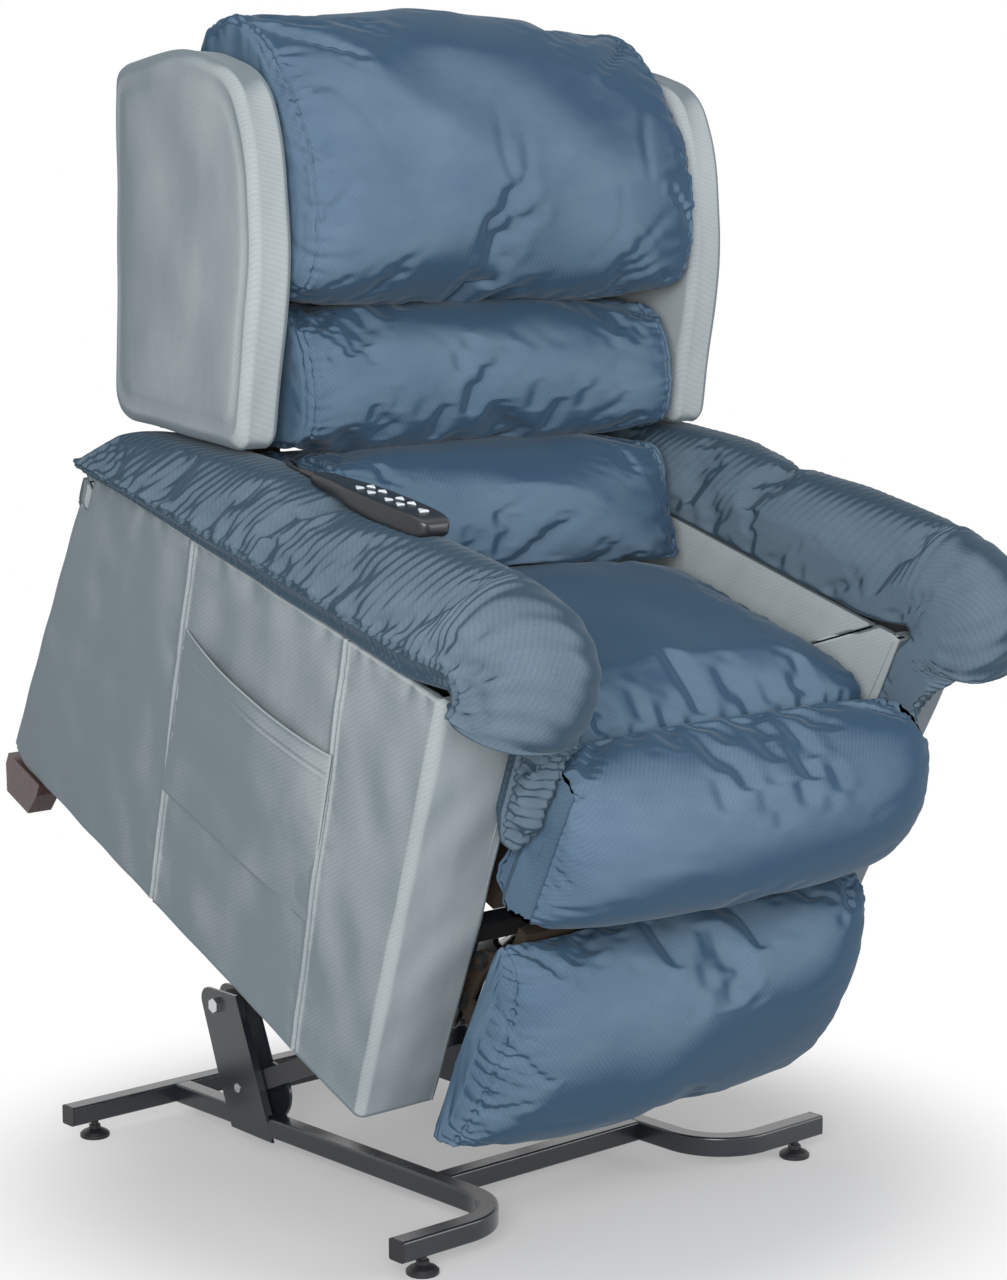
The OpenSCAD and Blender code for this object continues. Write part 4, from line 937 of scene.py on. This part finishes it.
class RECLINER_OT_pillows(bpy.types.Operator):
    """Make the head, middle and lumbar pillows of the back"""
    bl_idname = "recliner.pillows"
    bl_label = "Back pillows"

    def execute(self, context):
        rest_v, frame_top = FRAME_V + 2.3, 404
        for name, node, half, end, centre, seed, outline, creases in PILLOWS:
            p, depth = filled(context, outline, centre, half, end,
                              lambda v, u: (v < FRAME_V + 12) & (u < frame_top),
                              seed, (15, 0.8, 75, 10), (1.6, 100))
            foot = np.clip(p[..., 2] - p[..., 2].min() - 8, 0, None)
            folds = front_folds(context, p, creases, seed + 3, foot, 17, 34, 0.4, 10, 1.25)
            depth += step(p[..., 1], 150, 190) * folds
            p = pushed(p, depth)
            behind = (p[..., 1] < rest_v) & (p[..., 2] < frame_top + 3)
            p[..., 1] = np.where(behind, rest_v, p[..., 1])      # it lies on the straps
            p[..., 0] = np.clip(p[..., 0], 0.6 - WING_IN, WING_IN - 0.6)
            finish_piece(grid_mesh(name, in_chair(in_back(p))), "back", "cushion_fabric", [node])
        return {"FINISHED"}


WING_OUTLINE = [[0, 0], [411, 0], [419, 16], [437, 136], [411, 234], [328, 268], [203, 281], [-9, 256], [-19, 246]]
# The side-plane axes of the chair and of its back in the row frame, for the maps of flat panels
CHAIR_AXES = ((1, math.cos(TILT), math.sin(TILT)), (-0.7, -math.sin(TILT), math.cos(TILT)))
BACK_AXES = ((1, math.cos(TILT - BACK_RAKE), math.sin(TILT - BACK_RAKE)),
             (-0.7, -math.sin(TILT - BACK_RAKE), math.cos(TILT - BACK_RAKE)))


def rounded_outline(corners, radius, count):
    """A closed outline with its corners rounded, evenly spaced along its length."""
    c = np.array(corners, float)
    out = []
    for i in range(len(c)):
        before, here, after = c[i - 1], c[i], c[(i + 1) % len(c)]
        a, b = before - here, after - here
        la, lb = np.linalg.norm(a), np.linalg.norm(b)
        a, b = a / la, b / lb
        r = min(radius, la * 0.45, lb * 0.45)
        for t in np.linspace(0, 1, 9):
            out.append((1 - t)**2 * (here + a * r) + 2 * t * (1 - t) * here + t * t * (here + b * r))
    return evenly(np.array(out), count)


def padded_panel(ring, middle, low, high, edge, crown, turns_in=24, rim=9):
    """Grid (x, two side-plane values) of a flat padded panel between x low and high, with a rounded edge."""
    middle = np.array(middle, float)
    size = np.linalg.norm(ring - middle, axis=1).mean()
    flat = np.linspace(0.04, 1, turns_in)
    rows = [(low - crown * (1 - k**4), k * (size - edge) / size) for k in flat]
    for t in np.linspace(0, math.pi / 2, rim)[1:]:
        rows.append((low + edge * (1 - math.cos(t)), (size - edge + edge * math.sin(t)) / size))
    for t in np.linspace(0, math.pi / 2, rim):
        rows.append((high - edge * (1 - math.sin(t)), (size - edge + edge * math.cos(t)) / size))
    rows += [(high + crown * (1 - k**4), k * (size - edge) / size) for k in flat[::-1][1:]]
    grid = np.zeros((len(rows), len(ring), 3))
    for j, (x, s) in enumerate(rows):
        grid[j, :, 0] = x
        grid[j, :, 1:] = middle + s * (ring - middle)
    return grid


class RECLINER_OT_wings(bpy.types.Operator):
    """Make the two padded wings of the back"""
    bl_idname = "recliner.wings"
    bl_label = "Wings"

    def execute(self, context):
        ring = rounded_outline([(v, u) for u, v in WING_OUTLINE], 38, 260)
        p = padded_panel(ring, (140, 205), WING_IN, WING_IN + WING_T, 15, 1.5)
        rim = np.arange(len(p))[:, None] - 24.0
        depth = 1.0 * lumps(p, 75, 61) - 1.5 * np.exp(-((rim - 8) / 0.8)**2) - 1.3 * np.exp(-((rim - 17) / 0.8)**2)
        p = pushed(p, depth)
        p[..., 0] = np.clip(p[..., 0], WING_IN + 0.3, None)
        for side, q in both_sides(p):
            finish_piece(grid_mesh(side + "_wing_cover", in_chair(in_back(q)), flat_map=BACK_AXES), "back",
                         "side_fabric", [side + "_wing"])
        return {"FINISHED"}


class RECLINER_OT_rear_panel(bpy.types.Operator):
    """Make the upholstered panel that closes the back from behind"""
    bl_idname = "recliner.rear_panel"
    bl_label = "Rear panel"

    def execute(self, context):
        half, low, high, thick = WING_IN - 0.4, -16, 415, 18
        ring = rounded_outline([(-half, low), (half, low), (half, high), (-half, high)], 14, 240)
        p = padded_panel(ring, (0, 200), 0, thick, 6, 0.8)       # x is the distance forward here
        p[..., 0] += 0.8 * lumps(p, 120, 64) * (p[..., 0] < 4)
        q = np.stack([p[..., 1], np.maximum(p[..., 0], -2), p[..., 2]], -1)
        finish_piece(grid_mesh("rear_cover", in_chair(in_back(q)), flat_map=((1, 0.7, 0), (0, -0.7, 1))), "back",
                     "side_fabric", ["back_rear_panel"])
        return {"FINISHED"}


PANEL_SEAMS = ((128, 196), (435, 485))       # each seam's foot and head, rearward


def arm_wrap(rows=130):
    """Grid of the cloth that wraps an arm, from its front facing's inner edge round to its rear edge."""
    front_in, rear_in, round_front, round_rear = 272.0, 296.0, 12.0, 14.0
    corner = np.linspace(0, math.pi / 2, 9)[:-1]
    grid = []
    for k in np.arange(rows) / (rows - 1):
        h_front = ARM_CLEAR + 1 + (ARM_TOP_FRONT - 3 - ARM_CLEAR) * k
        share = (h_front - ARM_CLEAR) / (ARM_TOP_FRONT - ARM_CLEAR)
        a_front, inner, outer = FRONT_LEAN * share, front_in + 20 * share, out_x(h_front)
        line = [(inner, a_front + (45 - 40 * share) * t, h_front) for t in np.linspace(1, 0, 8)[:-1]]
        line += [(inner + (outer - round_front - inner) * t, a_front, h_front) for t in np.linspace(0, 1, 36)[:-1]]
        line += [(outer - round_front * (1 - math.sin(t)), a_front + round_front * (1 - math.cos(t)), h_front)
                 for t in corner]
        a_rear = ARM_LENGTH_LOW + (ARM_LENGTH_TOP - ARM_LENGTH_LOW) * k - 3
        seams = [foot + (head - foot) * k for foot, head in PANEL_SEAMS]
        knots = [a_front + round_front, *seams, a_rear - round_rear]
        for start, end in zip(knots, knots[1:]):
            for t in np.linspace(0, 1, 76)[:-1]:             # closer together near the seams
                a = start + (end - start) * (t - 0.92 * math.sin(2 * math.pi * t) / (2 * math.pi))
                low = ARM_CLEAR + 1 + 15 * step(a, ARM_LENGTH_LOW - 46, ARM_LENGTH_LOW - 4)
                h = low + (arm_top(a) - 1.5 - low) * k
                line.append((out_x(h), a, h))
        low = ARM_CLEAR + 16
        h_rear = low + (arm_top(a_rear) - 3 - low) * k
        outer = out_x(h_rear) - round_rear
        line += [(outer + round_rear * math.cos(t), a_rear - round_rear * (1 - math.sin(t)), h_rear)
                 for t in corner]
        line += [(outer - (outer - rear_in) * t, a_rear, h_rear) for t in np.linspace(0, 1, 20)]
        grid.append(line)
    return np.array(grid)


class RECLINER_OT_arms(bpy.types.Operator):
    """Make the cloth-covered arm bodies and the linings of their inner walls"""
    bl_idname = "recliner.arms"
    bl_label = "Arms"

    def execute(self, context):
        p = arm_wrap()
        a, h = p[..., 1], p[..., 2]
        on_side = (p[..., 0] > out_x(h) - 1.5)
        depth = 0.9 * lumps(p, 130, 71) + 0.5 * lumps(p, 45, 72)
        share = np.linspace(0, 1, len(p))[:, None]
        for foot, head in PANEL_SEAMS:
            off = a - (foot + (head - foot) * share)
            depth += on_side * (groove(off, 1.6, 2.6) + gathers(np.abs(off), h, 75, 14, 22, 0.7, 4))
        depth += on_side * gathers(np.clip(arm_top(a) - h, 0, None), a, 77, 21, 46, 1.3, 7)
        edge = grid_normals(p, closed=False)
        p = p + edge * depth[..., None]
        tuck = p[-1] - edge[-1] * np.array([14.0, 14.0, 0])        # turned in under the pad
        p = np.concatenate([p, tuck[None]])
        corners = [(FRONT_LEAN - 12, ARM_TOP_FRONT - 1), (16, ARM_CLEAR + 6),
                   (ARM_LENGTH_LOW - 8, ARM_CLEAR + 22), (ARM_LENGTH_TOP - 6, ARM_TOP_REAR - 1)]
        wall = rounded_outline(corners, 3, 200)
        wall[:, 0] += 14 * (wall[:, 0] < 60)
        lining = padded_panel(wall, (380, 300), SEAT_HALF + 0.4, SEAT_HALF + 12, 3, 0.0, 14, 5)
        for (side, outer), (_, inner) in zip(both_sides(p), both_sides(lining)):
            piece = grid_mesh(side + "_arm_cover", in_chair(outer), closed=False)
            thicken(piece, 0.012, 1 if side == "left" else -1)
            finish_piece(piece, "seat_unit", "side_fabric", [side + "_arm_body", "arm_facings"])
            piece = grid_mesh(side + "_arm_lining", in_chair(inner), flat_map=CHAIR_AXES)
            finish_piece(piece, "seat_unit", "side_fabric", [])
        return {"FINISHED"}


class RECLINER_OT_pocket(bpy.types.Operator):
    """Make the open pouch on the outside of the right arm"""
    bl_idname = "recliner.pocket"
    bl_label = "Magazine pocket"

    def execute(self, context):
        width, height = 300, 210
        across, up = np.meshgrid(np.linspace(0, 1, 110), np.linspace(0, 1, 80), indexing="ij")
        (a, h), (a_high, h_high) = ([np.interp(across, (0, 1), ends) for ends in edge]
                                    for edge in (((453, 154), (208, 221)), ((470, 176), (428, 437))))
        belly = np.sin(math.pi * across)**0.8
        a = a + (a_high - a) * up
        h = h + (h_high - h) * up - 9 * belly * up**3            # the mouth sags
        stand = 1.6 + 11.5 * belly * step(up, 0.0, 1.05) + 1.0 * lumps(np.stack([a, h], -1), 60, 91) * belly
        below = (1 - up) * height                                # the mouth's hem and its rolled edge
        stand += groove(below - 26, 1.3, 0.8) + groove(below, 3.0, -0.6)
        slack = sum(gathers(edge * width, up * height, seed, 24, 46, 1.2, 7)
                    for edge, seed in ((across, 92), (1 - across, 93)))
        stand += np.maximum(slack, -1.0) * belly
        grid = np.stack([-(out_x(h) + stand), a, h], -1)
        piece = grid_mesh("pocket_cloth", in_chair(grid), closed=False, flat_map=CHAIR_AXES)
        thicken(piece, 0.0018, -1)
        finish_piece(piece, "seat_unit", "side_fabric", ["magazine_pocket"])
        return {"FINISHED"}


# Section across a pad from its outer seam over the top: shares of its width and of its rise
PAD_SECTION = [[1, 0.3], [0.975, 0.47], [0.88, 0.73], [0.7, 0.93], [0.5, 1], [0.3, 0.985], [0.12, 0.86],
               [0.025, 0.6], [0, 0.25], [0.03, 0.02], [0.3, 0], [0.6, 0], [0.86, 0.0], [0.93, 0.15]]


def pad_rings():
    """Rings of an arm pad as (inner point, outer point, how much narrower), along the arm and over its nose."""
    rings = []
    for a, rise in ((718, 24), (700, 44), (640, 58), (570, 74), (500, 90), (430, 99), (360, 106), (290, 113),
                    (220, 120), (150, 126), (90, 128)):
        rings.append((a, arm_top(a) + 0.3, a - rise * 0.1, arm_top(a) + rise, 0))
    for angle, reach in ((80, 131), (105, 134), (130, 130), (155, 112), (180, 98)):
        c, s = math.cos(math.radians(angle)), math.sin(math.radians(angle))
        rings.append((26 + 8 * c, 606 + 8 * s, 30 + reach * c, 592 + reach * s, 0))
    rings += [(25, 586, -60, 591, 0.45), (24.3, 566, -54, 572, 0.7), (23, 535, -46, 541, 0.77),
              (22, 500, -42, 505, 0.8), (19.5, 455, -39, 458, 0.82), (17.5, 420, -30, 420, 0.84)]
    return np.array(rings, float)


class RECLINER_OT_arm_pads(bpy.types.Operator):
    """Make the gathered arm pads and the rolls over their fronts"""
    bl_idname = "recliner.arm_pads"
    bl_label = "Arm pads"

    def execute(self, context):
        cloth = context.scene.recliner_cloth
        deep = cloth.gather / MM
        rings, turns = smooth_line(pad_rings(), 4), 44
        section = smooth_loop(np.array(PAD_SECTION) * (PAD_WIDTH, 115), turns) / (PAD_WIDTH, 115)
        share, rise = section[:, 0], section[:, 1]
        p = np.zeros((len(rings), turns, 3))
        for j, (a_in, h_in, a_out, h_out, narrow) in enumerate(rings):
            close = min(j, len(rings) - 1 - j, 4) / 4
            tuck = 0.18 * (1 - close)                            # both ends of the pad are drawn in
            low = PAD_IN + tuck * 40 + 0.5
            high = PAD_IN + PAD_WIDTH * (1 - narrow) - tuck * (1 - narrow) * 200 - 2
            v = 0.5 + (np.maximum(rise, 0) * 0.975 - 0.5) * (0.5 + 0.5 * close)
            p[j] = np.stack([low + (high - low) * share, a_in + (a_out - a_in) * v, h_in + (h_out - h_in) * v], -1)
        held = np.zeros(p.shape[:2], bool)
        held[:, rise < 0.04] = held[:2] = held[-2:] = True
        held[:, 0] = held[:, -4:] = True                         # the outer seam and the band below it
        p = finer(stuffed(p, held, 0.03, cloth.swell / MM * 0.5), 6, 3)
        run = run_along(p[:, 0])[:, None]
        girth = np.linalg.norm(np.diff(p, axis=1, append=p[:, :1]), axis=-1)
        total = girth.sum(1, keepdims=True)
        over = np.cumsum(girth, axis=1) - girth                  # the way up over the pad from its outer seam
        under = total - over                                     # the way down from the seam
        nose = step(np.arange(len(p))[:, None] / 6, 40, 56)
        depth = (over < total * 0.5) * (
            gathers(over, run, 83, 8.5, 58, deep * 0.8, 3.4, 0.3)
            + gathers(over, run, 84, 30, 120, deep * 0.85, 8.0, 0.5)
            + nose * gathers(over, run, 87, 12, 120, deep, 4.6, 0.2))
        inner = total * 0.56 - over
        sway = lumps(np.stack(np.broadcast_arrays(run, over), -1), 150, 86)
        ruche = np.sin(2 * math.pi * (run / 12.0 + 0.5 * sway))
        depth += (inner > 0) * (
            nose * gathers(np.clip(inner, 0, None), run, 88, 13, 90, deep * 0.8, 4.6, 0.2)
            + (0.8 - 0.45 * step(over, 20, 190) + 0.5 * nose) * ruche)
        band = step(38 - under, 0, 8)
        pleats = np.abs(np.sin(math.pi * (run / 8.6 + 0.35 * lumps(run[..., None], 30, 81))))**0.7 - 0.7
        depth += 2.1 * band * (1 - 0.75 * nose) * pleats * (0.8 + 0.3 * lumps(run[..., None], 60, 82))
        depth += groove(np.minimum(over, under), 1.8, 2.4) + lumps(p, 85, 85)
        depth *= step(np.minimum(run, run[-1] - run), 0, 14)
        p = pushed(p, depth)
        on_arm = p[..., 1] > 44
        p[..., 2] = np.where(on_arm, np.maximum(p[..., 2], arm_top(p[..., 1]) + 0.3), p[..., 2])
        p[..., 0] = np.maximum(p[..., 0], PAD_IN)
        for side, q in both_sides(p):
            # The darker pad copy of the velvet is painted shade on the pads' tops.
            finish_piece(grid_mesh(side + "_pad_cover", in_chair(q)), "seat_unit", "side_fabric",
                         [side + "_arm_pad"], "pad_fabric")
        return {"FINISHED"}


class RECLINER_PT_panel(bpy.types.Panel):
    """Builds the chair's pieces, one group at a time"""
    bl_idname = "RECLINER_PT_panel"
    bl_label = "Lift Recliner"
    bl_space_type = "VIEW_3D"
    bl_region_type = "UI"
    bl_category = "Recliner"

    def draw(self, context):
        for kind in OPERATORS:
            self.layout.operator(kind.bl_idname)
        for group in ("recliner_cloth", "recliner_steel", "recliner_studio"):
            settings = getattr(context.scene, group)
            box = self.layout.box()
            for name in settings.__annotations__:
                box.prop(settings, name)


GROUPS = {"recliner_cloth": RECLINER_PG_cloth, "recliner_steel": RECLINER_PG_steel,
          "recliner_studio": RECLINER_PG_studio}
OPERATORS = (RECLINER_OT_finishes, RECLINER_OT_stage, RECLINER_OT_handset, RECLINER_OT_cord, RECLINER_OT_seat,
             RECLINER_OT_footrest, RECLINER_OT_pillows, RECLINER_OT_wings, RECLINER_OT_rear_panel,
             RECLINER_OT_arms, RECLINER_OT_pocket, RECLINER_OT_arm_pads)


def register():
    for kind in (*GROUPS.values(), *OPERATORS, RECLINER_PT_panel):
        bpy.utils.register_class(kind)
    for name, kind in GROUPS.items():
        setattr(bpy.types.Scene, name, bpy.props.PointerProperty(type=kind))


def unregister():
    for name in GROUPS:
        delattr(bpy.types.Scene, name)
    for kind in (RECLINER_PT_panel, *reversed(OPERATORS), *GROUPS.values()):
        bpy.utils.unregister_class(kind)


def main():
    """Registers the add-on and builds every piece in order."""
    register()
    for kind in OPERATORS:
        bpy.ops.object.select_all(action="DESELECT")
        group, name = kind.bl_idname.split(".")
        getattr(getattr(bpy.ops, group), name)()


if __name__ == "__main__":
    main()
